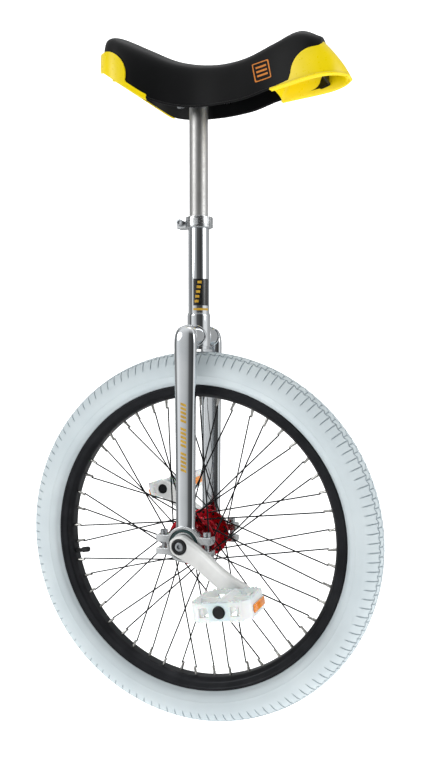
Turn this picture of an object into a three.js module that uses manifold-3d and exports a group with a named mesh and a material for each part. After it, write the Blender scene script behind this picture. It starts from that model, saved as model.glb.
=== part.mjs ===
// A 20 inch learner's unicycle: direct-drive wheel, chromed fork, height-adjustable saddle.
// Millimetres. +X is forward, +Y the rider's left, +Z up. The origin is where the tyre meets the ground.

import * as THREE from 'three';
import { mergeVertices } from 'three/addons/utils/BufferGeometryUtils.js';
import Module from 'manifold-3d';

const wasm = await Module();
wasm.setup();

// ---------------------------------------------------------------- driving dimensions
const clearance = 0.3;

// Wheel: 57-406 tyre on a rim with a 406 mm bead seat.
const tyreRadius = 254;
const tyreHalfWidth = 26.5;
const rimRadius = 209;
const rimInnerRadius = 192.6;
const rimHalfWidth = 15;
const beadSeatRadius = 203;
const ringSegments = 36;
const valveAngle = 190.4;

// Hub and spokes: 48 spokes, crossed four times.
const flangeRadius = 33.5;
const flangeOffset = 27;
const flangeThickness = 3;
const spokesPerSide = 24;
const spokeRadius = 1.1;
const spokeFaces = 3;
const spokeCircleRadius = 28.8;
const spokeHeadOffset = 33;
const spokeLean = 60;
const firstSpokeAngle = -0.88;

// Axle, bearings and cranks.
const journalRadius = 8.5;
const bearingOffset = 50;
const bearingWidth = 12;
const bearingRadius = 20;
const crankLength = 102;
const crankDrop = 28.2;
const crankBossRadius = 14.4;
const crankTipRadius = 12.4;
const crankThickness = 12;
const crankInnerFace = 60.6;
const crankFlare = 20;

// Pedals.
const pedalInnerFace = 103;
const pedalOuterFace = 169;
const pedalHalfLength = 37;
const pedalThickness = 25;
const rightPedalTilt = 8.4;
const leftPedalTilt = 16;

// Fork and seat tube, heights measured from the axle.
const seatTubeRadius = 14.3;
const seatTubeBottom = 257;
const seatTubeTop = 437;
const crownHeight = 275;
const crownRadius = 13;
const legOffset = 48.5;
const legHalfThickness = 8;
const legWall = 1.6;
const housingRadius = 24;
const housingWidth = 16;
const earBoltOffset = 30.5;
const earLength = 39;

// Seat post and saddle, heights measured from the axle.
const postRadius = 12.7;
const postBottom = 297;
const bracketHeight = 596;
const coverThickness = 3;
const foamThickness = 20;
const baseThickness = 4.5;
const bumperThickness = 3;

// ---------------------------------------------------------------- finishes
const finish = (color, roughness, metalness) => new THREE.MeshStandardMaterial({ color, roughness, metalness });
const chrome = () => finish(0xd9dbdd, 0.12, 1);
const brushedSteel = () => finish(0xb4b2af, 0.35, 1);
const zincSteel = () => finish(0xc4c6c8, 0.35, 1);
const blackSteel = () => finish(0x161718, 0.45, 0.6);
const bearingSteel = () => finish(0x9fa3a8, 0.2, 1);
const polishedAluminium = () => finish(0xd6d7d8, 0.28, 1);
const redAnodised = () => finish(0xa0101e, 0.3, 1);
const blackAnodised = () => finish(0x16171a, 0.4, 0.9);
const blackPlastic = () => finish(0x141414, 0.45, 0);
const sealRubber = () => finish(0x1c5a57, 0.6, 0);
const paleRubber = () => finish(0xd4dcde, 0.75, 0);
const blackRubber = () => finish(0x1a1a1a, 0.8, 0);
const saddleSkin = () => finish(0x17171a, 0.42, 0);
const seatFoam = () => finish(0x3b3b3b, 0.95, 0);
const yellowPlastic = () => finish(0xf0d400, 0.35, 0);
const whitePlastic = () => finish(0xeeeeec, 0.4, 0);
const amberLens = () => finish(0xf08a12, 0.2, 0);

// ---------------------------------------------------------------- geometry helpers
const radians = THREE.MathUtils.degToRad;

function signedVolume(geometry) {
  const position = geometry.attributes.position;
  const index = geometry.index;
  const corner = [new THREE.Vector3(), new THREE.Vector3(), new THREE.Vector3()];
  let volume = 0;
  for (let i = 0; i < index.count; i += 3) {
    corner.forEach((point, j) => point.fromBufferAttribute(position, index.getX(i + j)));
    volume += corner[0].dot(corner[1].cross(corner[2])) / 6;
  }
  return volume;
}

// Merges shared vertices, drops triangles with no area on the axis, and faces the surface outward.
function closed(geometry) {
  const bare = geometry.clone();
  bare.deleteAttribute('normal');
  bare.deleteAttribute('uv');
  const merged = mergeVertices(bare, 1e-4);
  const kept = [];
  for (let i = 0; i < merged.index.count; i += 3) {
    const [a, b, c] = [0, 1, 2].map((j) => merged.index.getX(i + j));
    if (a !== b && b !== c && c !== a) {
      kept.push(a, b, c);
    }
  }
  merged.setIndex(kept);
  if (signedVolume(merged) < 0) {
    const flipped = [];
    for (let i = 0; i < kept.length; i += 3) {
      flipped.push(kept[i], kept[i + 2], kept[i + 1]);
    }
    merged.setIndex(flipped);
  }
  return merged;
}

function solid(geometry) {
  const mesh = closed(geometry);
  return new wasm.Manifold(new wasm.Mesh({
    numProp: 3,
    vertProperties: Float32Array.from(mesh.attributes.position.array),
    triVerts: Uint32Array.from(mesh.index.array),
  }));
}

function geometryOf(manifold) {
  const mesh = manifold.getMesh();
  const geometry = new THREE.BufferGeometry();
  geometry.setAttribute('position', new THREE.BufferAttribute(Float32Array.from(mesh.vertProperties), 3));
  geometry.setIndex(new THREE.BufferAttribute(Uint32Array.from(mesh.triVerts), 1));
  return geometry;
}

const cut = (body, ...tools) => tools.reduce((left, tool) => left.subtract(tool), body);
const join = (body, ...others) => others.reduce((left, other) => left.add(other), body);

// A ring or shaft about the Y axis from [radius, y] points.
function turned(profile, segments = 20) {
  return closed(new THREE.LatheGeometry(profile.map(([r, y]) => new THREE.Vector2(r, y)), segments));
}

function ring(inner, outer, from, to, segments = 20) {
  return turned([[inner, from], [outer, from], [outer, to], [inner, to], [inner, from]], segments);
}

function disc(radius, from, to, segments = 20) {
  return turned([[0, from], [radius, from], [radius, to], [0, to]], segments);
}

// The same shapes about the Z axis.
const upright = (geometry) => geometry.clone().rotateX(Math.PI / 2);
const uprightRing = (inner, outer, from, to, segments) => upright(ring(inner, outer, from, to, segments));
const uprightDisc = (radius, from, to, segments) => upright(disc(radius, from, to, segments));

function block(low, high) {
  const size = high.map((value, i) => value - low[i]);
  const centre = high.map((value, i) => (value + low[i]) / 2);
  return new THREE.BoxGeometry(...size).translate(...centre);
}

// An outline in the X-Z plane, extruded across Y.
function sidePlate(shape, from, to, curveSegments = 8) {
  const plate = new THREE.ExtrudeGeometry(shape, { depth: to - from, bevelEnabled: false, curveSegments });
  return plate.rotateX(Math.PI / 2).translate(0, to, 0);
}

// A closed skin through rings of equal point count, with a flat fan at each end.
function loft(rings) {
  const count = rings[0].length;
  const points = rings.flat();
  const ends = [rings[0], rings[rings.length - 1]];
  ends.forEach((loop) => {
    const middle = new THREE.Vector3();
    loop.forEach((point) => middle.addScaledVector(point, 1 / count));
    points.push(middle);
  });
  const index = [];
  for (let i = 0; i < rings.length - 1; i += 1) {
    for (let j = 0; j < count; j += 1) {
      const [a, b] = [i * count + j, i * count + ((j + 1) % count)];
      index.push(a, b, b + count, a, b + count, a + count);
    }
  }
  const last = (rings.length - 1) * count;
  const [firstCentre, lastCentre] = [points.length - 2, points.length - 1];
  for (let j = 0; j < count; j += 1) {
    const next = (j + 1) % count;
    index.push(firstCentre, next, j);
    index.push(lastCentre, last + j, last + next);
  }
  const geometry = new THREE.BufferGeometry().setFromPoints(points);
  geometry.setIndex(index);
  return closed(geometry);
}

function named(name, geometry, material) {
  const mesh = new THREE.Mesh(geometry, material);
  mesh.name = name;
  return mesh;
}

const unicycle = new THREE.Group();
const atAxle = new THREE.Group();
atAxle.position.z = tyreRadius;
unicycle.add(atAxle);

// ---------------------------------------------------------------- wheel: tyre, tube and rim
// Takes a half section from the bead to the crown and returns both halves of it, bead to bead.
function bothSides(half) {
  const mirrored = half.filter(([, y]) => y !== 0).map(([r, y]) => [r, -y]).reverse();
  return [...half, ...mirrored];
}

const beadInnerEdge = 8.8;
const beadOuterEdge = 12.3;
const tyreOutside = bothSides([
  [beadSeatRadius + 1, beadInnerEdge],
  [beadSeatRadius + 1, beadOuterEdge],
  [rimRadius + 1.2, beadOuterEdge],
  [rimRadius + 8, 22],
  [230, tyreHalfWidth],
  [243, 22.6],
  [251.2, 12.6],
  [tyreRadius, 0],
]);
const tyreInside = bothSides([
  [beadSeatRadius + 7.5, 9.6],
  [222, 21.6],
  [236, 21.2],
  [245.5, 11],
  [249, 0],
]).reverse();
const tyreSection = [...tyreOutside, ...tyreInside];
atAxle.add(named('tyre', turned([...tyreSection, tyreSection[0]], ringSegments), paleRubber()));

const rimFloor = beadSeatRadius - 3.5;
const flangeInnerFace = beadOuterEdge + clearance;
const rimOutside = bothSides([
  [rimRadius, flangeInnerFace],
  [rimRadius, rimHalfWidth],
  [rimInnerRadius + 4.5, rimHalfWidth],
  [rimInnerRadius, 8.5],
]);
const rimTopside = bothSides([
  [beadSeatRadius, flangeInnerFace],
  [beadSeatRadius - 0.4, 8],
  [rimFloor, 6],
]).reverse();
const rimSection = [...rimOutside, ...rimTopside];
const rimHollow = [[rimFloor - 2, 7.5], [rimInnerRadius + 2, 6.5], [rimInnerRadius + 2, -6.5], [rimFloor - 2, -7.5]];

// Turns a shaft made about Y so that it lies along the wheel radius at the valve.
function alongValve(geometry) {
  return geometry.clone().rotateZ(-Math.PI / 2).rotateY(-radians(valveAngle));
}

const stemRadius = 3;
const stemTip = 176;
const tubeCentre = 227;
const tubeRadius = 18;
const tubeWall = 1.4;
const rimBody = cut(
  solid(turned([...rimSection, rimSection[0]], ringSegments)),
  solid(turned([...rimHollow, rimHollow[0]], ringSegments)),
  solid(alongValve(disc(stemRadius + 2 * clearance, rimInnerRadius - 5, beadSeatRadius, 12))),
);
atAxle.add(named('rim', geometryOf(rimBody), blackAnodised()));

const tapeBody = cut(
  solid(ring(rimFloor + clearance, rimFloor + 1.8, -5.5, 5.5, ringSegments)),
  solid(alongValve(disc(stemRadius + 2 * clearance, rimFloor - 2, rimFloor + 4, 12))),
);
atAxle.add(named('rim_tape', geometryOf(tapeBody), blackRubber()));

function tubeRing(radius) {
  const sides = 8;
  const points = [];
  for (let i = 0; i <= sides; i += 1) {
    const angle = (2 * Math.PI * (i + 0.5)) / sides;
    points.push([tubeCentre + radius * Math.cos(angle), radius * Math.sin(angle)]);
  }
  return turned(points, ringSegments);
}

const innerTube = cut(
  join(solid(tubeRing(tubeRadius)), solid(alongValve(disc(stemRadius, stemTip, tubeCentre - 15, 12)))),
  solid(tubeRing(tubeRadius - tubeWall)),
  solid(alongValve(disc(1.2, stemTip - 1, tubeCentre - 5, 8))),
);
atAxle.add(named('inner_tube', geometryOf(innerTube), blackRubber()));

const capTop = 184;
const valveCap = cut(
  solid(alongValve(disc(4, 172.5, capTop, 12))),
  solid(alongValve(disc(stemRadius + clearance, stemTip - clearance, capTop + 1, 12))),
);
atAxle.add(named('valve_cap', geometryOf(valveCap), blackPlastic()));

// ---------------------------------------------------------------- wheel: hub and spokes
const hubSleeveEnd = bearingOffset - bearingWidth / 2 - clearance;
const flangeIn = flangeOffset - flangeThickness / 2;
const flangeOut = flangeOffset + flangeThickness / 2;
const hubHalf = [
  [journalRadius + clearance, hubSleeveEnd],
  [12, hubSleeveEnd],
  [13, flangeOut],
  [flangeRadius, flangeOut],
  [flangeRadius, flangeIn],
  [17, flangeIn - 3],
];
const hubSection = [...hubHalf, ...hubHalf.map(([r, y]) => [r, -y]).reverse()];
atAxle.add(named('hub_shell', turned([...hubSection, hubSection[0]], 24), redAnodised()));

const taperHalf = 6.2;
const taperEnd = crankInnerFace + 9;
const squareEnds = solid(block([-taperHalf, -taperEnd, -taperHalf], [taperHalf, taperEnd, taperHalf]));
const axleBores = [-1, 1].map((side) => {
  const [from, to] = [side * 48, side * 80].sort((a, b) => a - b);
  return solid(disc(4 + clearance, from, to, 12));
});
const axleBody = cut(join(solid(disc(journalRadius, -57, 57, 24)), squareEnds), ...axleBores);

// A straight spoke with flat sides between two points.
function spokeBetween(from, to) {
  const along = new THREE.Vector3().subVectors(to, from);
  const length = along.length();
  const spoke = new THREE.CylinderGeometry(spokeRadius, spokeRadius, length, spokeFaces);
  spoke.translate(0, length / 2, 0);
  spoke.applyQuaternion(new THREE.Quaternion().setFromUnitVectors(new THREE.Vector3(0, 1, 0), along.normalize()));
  return spoke.translate(from.x, from.y, from.z);
}

const onWheel = (radius, degrees, y) => new THREE.Vector3(
  radius * Math.cos(radians(degrees)), y, radius * Math.sin(radians(degrees)));

// Spokes on one flange lean both ways in turn. Both sets lie on one curved surface, so they touch where they cross.
function spokeNet(side) {
  const spokes = [];
  for (let i = 0; i < spokesPerSide; i += 1) {
    const hole = 2 * i + (side > 0 ? 1 : 0);
    const rimAngle = firstSpokeAngle + (360 / (2 * spokesPerSide)) * hole;
    const lean = hole % 4 < 2 ? -spokeLean : spokeLean;
    const head = onWheel(spokeCircleRadius, rimAngle + lean, side * spokeHeadOffset);
    const nipple = onWheel(rimInnerRadius - 2.2, rimAngle, side * 3);
    spokes.push(solid(spokeBetween(head, nipple)));
  }
  return geometryOf(join(...spokes));
}

atAxle.add(named('right_spokes', spokeNet(-1), blackAnodised()));
atAxle.add(named('left_spokes', spokeNet(1), blackAnodised()));

// ---------------------------------------------------------------- bearings and their holders
const bearingIn = bearingOffset - bearingWidth / 2;
const bearingOut = bearingOffset + bearingWidth / 2;
const housingIn = bearingOffset - housingWidth / 2;
const housingOut = bearingOffset + housingWidth / 2;
const housingBore = bearingRadius + clearance;
const upperEar = [1.4, 11.3];
const lowerEar = [-15, -6.4];

// Half a bearing holder with a drilled ear fore and aft: up is 1 for the upper half, -1 for the cap.
function holderHalf(up, ear) {
  const halfSpace = up > 0
    ? block([-60, housingIn - 1, clearance / 2], [60, housingOut + 1, 60])
    : block([-60, housingIn - 1, -60], [60, housingOut + 1, -clearance / 2]);
  const ears = solid(block([-earLength, housingIn + 1, ear[0]], [earLength, housingOut - 1, ear[1]]));
  const body = join(solid(disc(housingRadius, housingIn, housingOut, 32)), ears).intersect(solid(halfSpace));
  const drills = [-earBoltOffset, earBoltOffset].map((x) => (
    solid(uprightDisc(3 + clearance, -30, 30, 12).translate(x, bearingOffset, 0))));
  return cut(body, solid(disc(housingBore, housingIn - 2, housingOut + 2, 32)), ...drills);
}

// A socket screw, head up, standing on the upper ear.
function earBolt() {
  const headHeight = 5.5;
  const seat = upperEar[1] + clearance;
  const shank = upright(turned([[0, lowerEar[0]], [3, lowerEar[0]], [3, seat], [5, seat],
    [5, seat + headHeight], [0, seat + headHeight]], 12));
  const socket = uprightDisc(2.5, seat + 2.5, seat + headHeight + 1, 6);
  return geometryOf(cut(solid(shank), solid(socket)));
}

// Parts drawn at +Y serve the left side; half a turn about Z gives the right side.
const sides = [['left', 0], ['right', Math.PI]];
sides.forEach(([side, turn]) => {
  const group = new THREE.Group();
  group.rotation.z = turn;
  atAxle.add(group);
  group.add(named(`${side}_bearing_housing`, geometryOf(holderHalf(1, upperEar)), polishedAluminium()));
  group.add(named(`${side}_bearing_cap`, geometryOf(holderHalf(-1, lowerEar)), polishedAluminium()));
  [['front', 1], ['rear', -1]].forEach(([end, sign]) => {
    const bolt = named(`${side}_${end}_bearing_bolt`, earBolt(), zincSteel());
    bolt.position.set(sign * earBoltOffset * (turn ? -1 : 1), bearingOffset, 0);
    group.add(bolt);
  });
  group.add(named(`${side}_outer_race`, ring(16.4, bearingRadius, bearingIn, bearingOut), bearingSteel()));
  group.add(named(`${side}_inner_race`, ring(journalRadius + clearance, 12, bearingIn, bearingOut), bearingSteel()));
  group.add(named(`${side}_ball_cage`, ring(12.3, 16.1, bearingIn + 2, bearingOut - 2), bearingSteel()));
  const sealProfile = ring(12.4, bearingRadius - 0.4, bearingOut + clearance, housingOut - 0.2);
  group.add(named(`${side}_bearing_seal`, sealProfile, sealRubber()));
});

// ---------------------------------------------------------------- cranks and pedal spindles
// Arm outline with its boss at the origin and its tip at +X, bent outward on the way to the pedal.
function crankBody() {
  const outline = new THREE.Shape();
  outline.absarc(0, 0, crankBossRadius, Math.PI / 2, -Math.PI / 2, false);
  for (let i = 1; i < 6; i += 1) {
    const share = i / 6;
    outline.lineTo(crankLength * share, -THREE.MathUtils.lerp(crankBossRadius, crankTipRadius, share));
  }
  outline.absarc(crankLength, 0, crankTipRadius, -Math.PI / 2, Math.PI / 2, false);
  for (let i = 5; i > 0; i -= 1) {
    const share = i / 6;
    outline.lineTo(crankLength * share, THREE.MathUtils.lerp(crankBossRadius, crankTipRadius, share));
  }
  const arm = sidePlate(outline, crankInnerFace, crankInnerFace + crankThickness);
  const position = arm.attributes.position;
  for (let i = 0; i < position.count; i += 1) {
    const reach = THREE.MathUtils.smoothstep(position.getX(i), crankBossRadius, crankLength - crankTipRadius);
    position.setY(i, position.getY(i) + crankFlare * reach);
  }
  const hole = taperHalf + clearance;
  const taperHole = block([-hole, crankInnerFace - 1, -hole], [hole, taperEnd + 1.5, hole]);
  const boltRecess = disc(10.6, taperEnd + clearance, 90, 24);
  const spindleHole = disc(7 + clearance, 70, 110, 16).translate(crankLength, 0, 0);
  return geometryOf(cut(solid(arm), solid(taperHole), solid(boltRecess), solid(spindleHole)));
}

const crankOuterFace = crankInnerFace + crankThickness;
const boltSeat = taperEnd + 2 * clearance;
const boltHead = boltSeat + 2.6;

function crankBolt() {
  const screw = turned([[0, 55], [4, 55], [4, boltSeat], [5.8, boltSeat], [5.8, boltHead], [0, boltHead]], 20);
  return geometryOf(cut(solid(screw), solid(disc(3.2, boltHead - 1.8, boltHead + 1, 6))));
}

const spindleShoulder = crankOuterFace + crankFlare + clearance;
const spindleSection = [
  [0, spindleShoulder - crankThickness],
  [7, spindleShoulder - crankThickness],
  [7, spindleShoulder],
  [8.2, spindleShoulder],
  [8.2, pedalInnerFace - clearance],
  [5, pedalInnerFace - clearance],
  [5, pedalOuterFace - 8],
  [0, pedalOuterFace - 8],
];

const crankFrame = new THREE.Group();
crankFrame.rotation.y = radians(crankDrop);
atAxle.add(crankFrame);
crankFrame.add(named('hub_axle', geometryOf(axleBody), zincSteel()));
// The right crank points forward and down, and the left one the other way.
[['right', 0], ['left', Math.PI]].forEach(([side, turn]) => {
  const group = new THREE.Group();
  group.rotation.z = turn;
  crankFrame.add(group);
  const outward = (geometry) => geometry.clone().rotateX(Math.PI);
  group.add(named(`${side}_crank`, outward(crankBody()), polishedAluminium()));
  group.add(named(`${side}_crank_bolt`, outward(crankBolt()), zincSteel()));
  group.add(named(`${side}_crank_dust_ring`, outward(ring(6.2, 10.2, boltSeat, boltHead)), blackPlastic()));
  const spindle = outward(turned(spindleSection, 16)).translate(crankLength, 0, 0);
  group.add(named(`${side}_pedal_spindle`, spindle, blackSteel()));
});

// ---------------------------------------------------------------- pedals
// Platform with a barrel down the middle and two open windows on each side of it.
function pedalBody() {
  const middle = (pedalInnerFace + pedalOuterFace) / 2;
  const halfWidth = (pedalOuterFace - pedalInnerFace) / 2;
  const corner = 9;
  const outline = new THREE.Shape();
  outline.moveTo(-pedalHalfLength + corner, -halfWidth);
  outline.lineTo(pedalHalfLength - corner, -halfWidth);
  outline.lineTo(pedalHalfLength, -halfWidth + corner);
  outline.lineTo(pedalHalfLength, halfWidth - corner);
  outline.lineTo(pedalHalfLength - corner, halfWidth);
  outline.lineTo(-pedalHalfLength + corner, halfWidth);
  outline.lineTo(-pedalHalfLength, halfWidth - corner);
  outline.lineTo(-pedalHalfLength, -halfWidth + corner);
  outline.closePath();
  const slab = new THREE.ExtrudeGeometry(outline, { depth: pedalThickness, bevelEnabled: false });
  slab.translate(0, middle, -pedalThickness / 2);
  const windows = [];
  [-1, 1].forEach((end) => {
    [-1, 1].forEach((row) => {
      const [xa, xb] = [end * 12, end * 31].sort((a, b) => a - b);
      const [ya, yb] = [middle + row * 2.5, middle + row * 27].sort((a, b) => a - b);
      windows.push(solid(block([xa, ya, -pedalThickness], [xb, yb, pedalThickness])));
    });
  });
  const bore = solid(disc(8, pedalInnerFace - 1, pedalOuterFace + 1, 16));
  return geometryOf(cut(solid(slab), ...windows, bore));
}

function pedal(side, turn, tilt) {
  const group = new THREE.Group();
  const reach = side === 'right' ? 1 : -1;
  const angle = radians(crankDrop);
  group.position.set(reach * crankLength * Math.cos(angle), 0, -reach * crankLength * Math.sin(angle));
  group.rotation.y = -radians(tilt);
  const facing = new THREE.Group();
  facing.rotation.z = turn;
  group.add(facing);
  facing.add(named(`${side}_pedal_body`, pedalBody(), whitePlastic()));
  const bush = ring(5 + clearance, 8 - clearance, pedalInnerFace + 1, pedalOuterFace - 10, 16);
  facing.add(named(`${side}_pedal_bush`, bush, blackPlastic()));
  const cap = turned([[0, pedalOuterFace - 6], [8 - clearance, pedalOuterFace - 6], [8 - clearance, pedalOuterFace],
    [8 - clearance, pedalOuterFace + 1], [6, pedalOuterFace + 2], [0, pedalOuterFace + 2]], 16);
  facing.add(named(`${side}_pedal_end_cap`, cap, blackPlastic()));
  [['front', turn ? -1 : 1], ['rear', turn ? 1 : -1]].forEach(([end, sign]) => {
    const faces = [sign * (pedalHalfLength + clearance), sign * (pedalHalfLength + 2)].sort((a, b) => a - b);
    const lens = block([faces[0], 113, -6.8], [faces[1], 153, 2.8]);
    facing.add(named(`${side}_pedal_${end}_reflector`, lens, amberLens()));
  });
  return group;
}

atAxle.add(pedal('right', Math.PI, rightPedalTilt));
atAxle.add(pedal('left', 0, leftPedalTilt));

// ---------------------------------------------------------------- fork
const tubeBore = postRadius + clearance;
const tubeShell = solid(uprightRing(tubeBore, seatTubeRadius, seatTubeBottom, seatTubeTop, 32));
const clampSlit = solid(block([-20, -1.25, seatTubeTop - 40], [0, 1.25, seatTubeTop + 1]));
atAxle.add(named('seat_tube', geometryOf(cut(tubeShell, clampSlit)), chrome()));

const crownEnd = legOffset - legHalfThickness - clearance;
const crownBody = cut(
  join(
    solid(disc(crownRadius, -crownEnd, crownEnd, 24)).translate([0, 0, crownHeight]),
    solid(uprightDisc(seatTubeRadius + 2.6, crownHeight - 14, crownHeight + 31, 32)),
  ),
  solid(uprightDisc(seatTubeRadius + clearance, crownHeight - 40, crownHeight + 60, 32)),
);
atAxle.add(named('fork_crown', geometryOf(crownBody), chrome()));

// An oval tube that narrows toward the axle and closes over the end of the crown.
// Each station: height, half depth fore and aft, half thickness, shift toward the middle.
const legStations = [
  [8, 12.9, legHalfThickness, 0],
  [130, 13.6, legHalfThickness, 0],
  [255, 15.2, legHalfThickness, 0],
  [272, 15.2, legHalfThickness - 0.4, 0],
  [281, 13.6, legHalfThickness - 1.6, 1],
  [287, 9.6, legHalfThickness - 3.8, 2.4],
];

function ovalRing(height, halfDepth, halfThickness, offset) {
  const sideCount = 16;
  return Array.from({ length: sideCount }, (_, i) => {
    const angle = (2 * Math.PI * i) / sideCount;
    return new THREE.Vector3(halfDepth * Math.cos(angle), offset + halfThickness * Math.sin(angle), height);
  });
}

function legBody() {
  const outer = legStations.map(([height, depth, thickness, shift]) => (
    ovalRing(height, depth, thickness, legOffset - shift)));
  const inner = legStations.slice(0, 4).map(([height, depth, thickness], i) => (
    ovalRing(i ? height : height - 5, depth - legWall, thickness - legWall, legOffset)));
  const seat = solid(disc(housingRadius + clearance, 20, 70, 32));
  return geometryOf(cut(solid(loft(outer)), solid(loft(inner)), seat));
}

sides.forEach(([side, turn]) => {
  const leg = named(`${side}_leg`, legBody(), chrome());
  leg.rotation.z = turn;
  atAxle.add(leg);
});

// ---------------------------------------------------------------- seat clamp
const clampBottom = seatTubeTop - 16;
const clampTop = seatTubeTop - 1;
const clampBoltX = -23.5;
const clampBoltZ = (clampBottom + clampTop) / 2;
const clampBand = join(
  solid(uprightDisc(seatTubeRadius + 3.4, clampBottom, clampTop, 32)),
  solid(block([-29, -8, clampBottom], [-10, 8, clampTop])),
  solid(block([10, -6, clampBottom], [seatTubeRadius + 4.4, 6, clampTop])),
);
const clampBody = cut(
  clampBand,
  solid(uprightDisc(seatTubeRadius + clearance, clampBottom - 5, clampTop + 5, 32)),
  solid(block([-40, -1.4, clampBottom - 1], [-5, 1.4, clampTop + 1])),
  solid(disc(3 + clearance, -20, 20, 12)).translate([clampBoltX, 0, clampBoltZ]),
);
atAxle.add(named('seat_clamp', geometryOf(clampBody), polishedAluminium()));

const clampScrew = turned([[0, -13.6], [4.8, -13.6], [4.8, -8.3], [3, -8.3], [3, 8], [0, 8]], 12);
const clampSocket = disc(2.6, -15, -10.8, 6);
const clampBolt = named('seat_clamp_bolt', geometryOf(cut(solid(clampScrew), solid(clampSocket))), zincSteel());
clampBolt.position.set(clampBoltX, 0, clampBoltZ);
atAxle.add(clampBolt);

// ---------------------------------------------------------------- seat post and bracket
atAxle.add(named('seat_post', uprightRing(postRadius - 1.6, postRadius, postBottom, bracketHeight - clearance, 32),
  brushedSteel()));

const saddleBoltPlaces = [[-33, -17], [-33, 17], [34, -17], [34, 17]];
const bracketPlate = cut(
  join(
    solid(block([-44, -24, bracketHeight], [45, 24, bracketHeight + 3])),
    solid(uprightDisc(10.8, bracketHeight - 22, bracketHeight + 1, 24)),
  ),
  ...saddleBoltPlaces.map(([x, y]) => (
    solid(uprightDisc(3 + clearance, bracketHeight - 9, bracketHeight + 9, 10).translate(x, y, 0)))),
);
atAxle.add(named('saddle_bracket', geometryOf(bracketPlate), zincSteel()));

// ---------------------------------------------------------------- saddle
// Smooth curve through [x, value] pairs.
function curveThrough(pairs) {
  const spline = new THREE.SplineCurve(pairs.map(([x, value]) => new THREE.Vector2(x, value)));
  const samples = spline.getPoints(pairs.length * 8);
  return (x) => {
    const next = Math.max(1, samples.findIndex((point) => point.x >= x));
    const [a, b] = x >= samples[samples.length - 1].x ? samples.slice(-2) : [samples[next - 1], samples[next]];
    const share = THREE.MathUtils.clamp((x - a.x) / (b.x - a.x), 0, 1);
    return a.y + (b.y - a.y) * share;
  };
}

const saddleTop = curveThrough([[-132, 668], [-125, 679], [-115, 683], [-98, 680], [-60, 662], [-20, 644],
  [30, 635], [70, 639], [110, 654], [145, 665], [172, 655]]);
const saddleEdge = curveThrough([[-132, 641], [-116, 630], [-80, 605], [-50, 587], [0, 577], [66, 580],
  [108, 591], [150, 599], [172, 603]]);
const saddleHalfWidth = curveThrough([[-132, 17], [-127, 31], [-118, 45], [-106, 54], [-92, 57], [-72, 54],
  [-40, 41], [0, 31], [40, 29], [70, 27], [105, 25.5], [140, 29.5], [160, 30], [172, 24.5]]);

// Points of a domed section from one edge over the top to the other: share of the half width, share of the rise.
const domePoints = [[1, 0], [0.97, 0.45], [0.9, 0.76], [0.7, 0.92], [0.36, 0.985]];

// The section's two edges can run on straight down by drop.
function domeRing(x, half, high, low, drop) {
  const halfRing = (side) => [
    new THREE.Vector3(x, side * half, low - drop),
    ...domePoints.map(([across, up]) => new THREE.Vector3(x, side * half * across, low + (high - low) * up)),
  ];
  return [...halfRing(-1), new THREE.Vector3(x, 0, high), ...halfRing(1).reverse()];
}

const saddleStations = [-132, -127, -118, -100, -78, -48, -15, 20, 55, 90, 120, 146, 162, 172];
const saddleRear = saddleStations[0];
const saddleFront = saddleStations[saddleStations.length - 1];

// The whole saddle as one block, pulled in by inset on all sides, its skirts made longer by drop.
function saddleLoft(inset, drop = 0) {
  return solid(loft(saddleStations.map((x) => {
    const share = (x - saddleRear) / (saddleFront - saddleRear);
    const shifted = x + THREE.MathUtils.lerp(inset, -inset, share);
    return domeRing(shifted, saddleHalfWidth(x) - inset, saddleTop(x) - inset, saddleEdge(x), drop);
  })));
}

const below = (curve, drop) => (x) => curve(x) - drop;
const foamBottom = below(saddleTop, coverThickness + foamThickness);
const baseTop = below(saddleTop, coverThickness + foamThickness + clearance);
const baseBottom = below(saddleTop, coverThickness + foamThickness + baseThickness);
const innerInset = coverThickness + clearance;

atAxle.add(named('saddle_cover', geometryOf(cut(saddleLoft(0), saddleLoft(coverThickness, 30))), saddleSkin()));

// The foam and base fill the space under the cover, one on top of the other.
const roomInside = saddleLoft(innerInset, 30);
const slice = (topOf, bottomOf) => {
  const outline = new THREE.Shape();
  const steps = 20;
  const at = (i) => THREE.MathUtils.lerp(-150, 176, i / steps);
  outline.moveTo(at(0), topOf(at(0)));
  for (let i = 1; i <= steps; i += 1) {
    outline.lineTo(at(i), topOf(at(i)));
  }
  for (let i = steps; i >= 0; i -= 1) {
    outline.lineTo(at(i), bottomOf(at(i)));
  }
  return solid(sidePlate(outline, -80, 80));
};
const foamBody = roomInside.intersect(slice(below(saddleTop, -20), foamBottom));
atAxle.add(named('saddle_foam', geometryOf(foamBody), seatFoam()));

const mountingBlock = new THREE.Shape();
const blockFoot = bracketHeight + 3 + clearance;
mountingBlock.moveTo(-42, blockFoot);
mountingBlock.lineTo(43, blockFoot);
mountingBlock.lineTo(43, baseBottom(43) + 2);
mountingBlock.lineTo(0, baseBottom(0) + 2);
mountingBlock.lineTo(-42, baseBottom(-42) + 2);
mountingBlock.closePath();
const baseBody = cut(
  join(roomInside.intersect(slice(baseTop, baseBottom)), solid(sidePlate(mountingBlock, -23, 23))),
  ...saddleBoltPlaces.map(([x, y]) => (
    solid(uprightDisc(3 + clearance, blockFoot - 1, blockFoot + 7, 10).translate(x, y, 0)))),
);
atAxle.add(named('saddle_base', geometryOf(baseBody), blackPlastic()));

saddleBoltPlaces.forEach(([x, y]) => {
  const name = `saddle_${x > 0 ? 'front' : 'rear'}_${y > 0 ? 'left' : 'right'}_bolt`;
  const seat = bracketHeight - clearance;
  const bolt = join(
    solid(uprightDisc(5.8, seat - 5.5, seat, 6)),
    solid(uprightDisc(3, seat - 1, blockFoot + 6.5, 10)),
  );
  const mesh = named(name, geometryOf(bolt), zincSteel());
  mesh.position.set(x, y, 0);
  atAxle.add(mesh);
});

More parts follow.
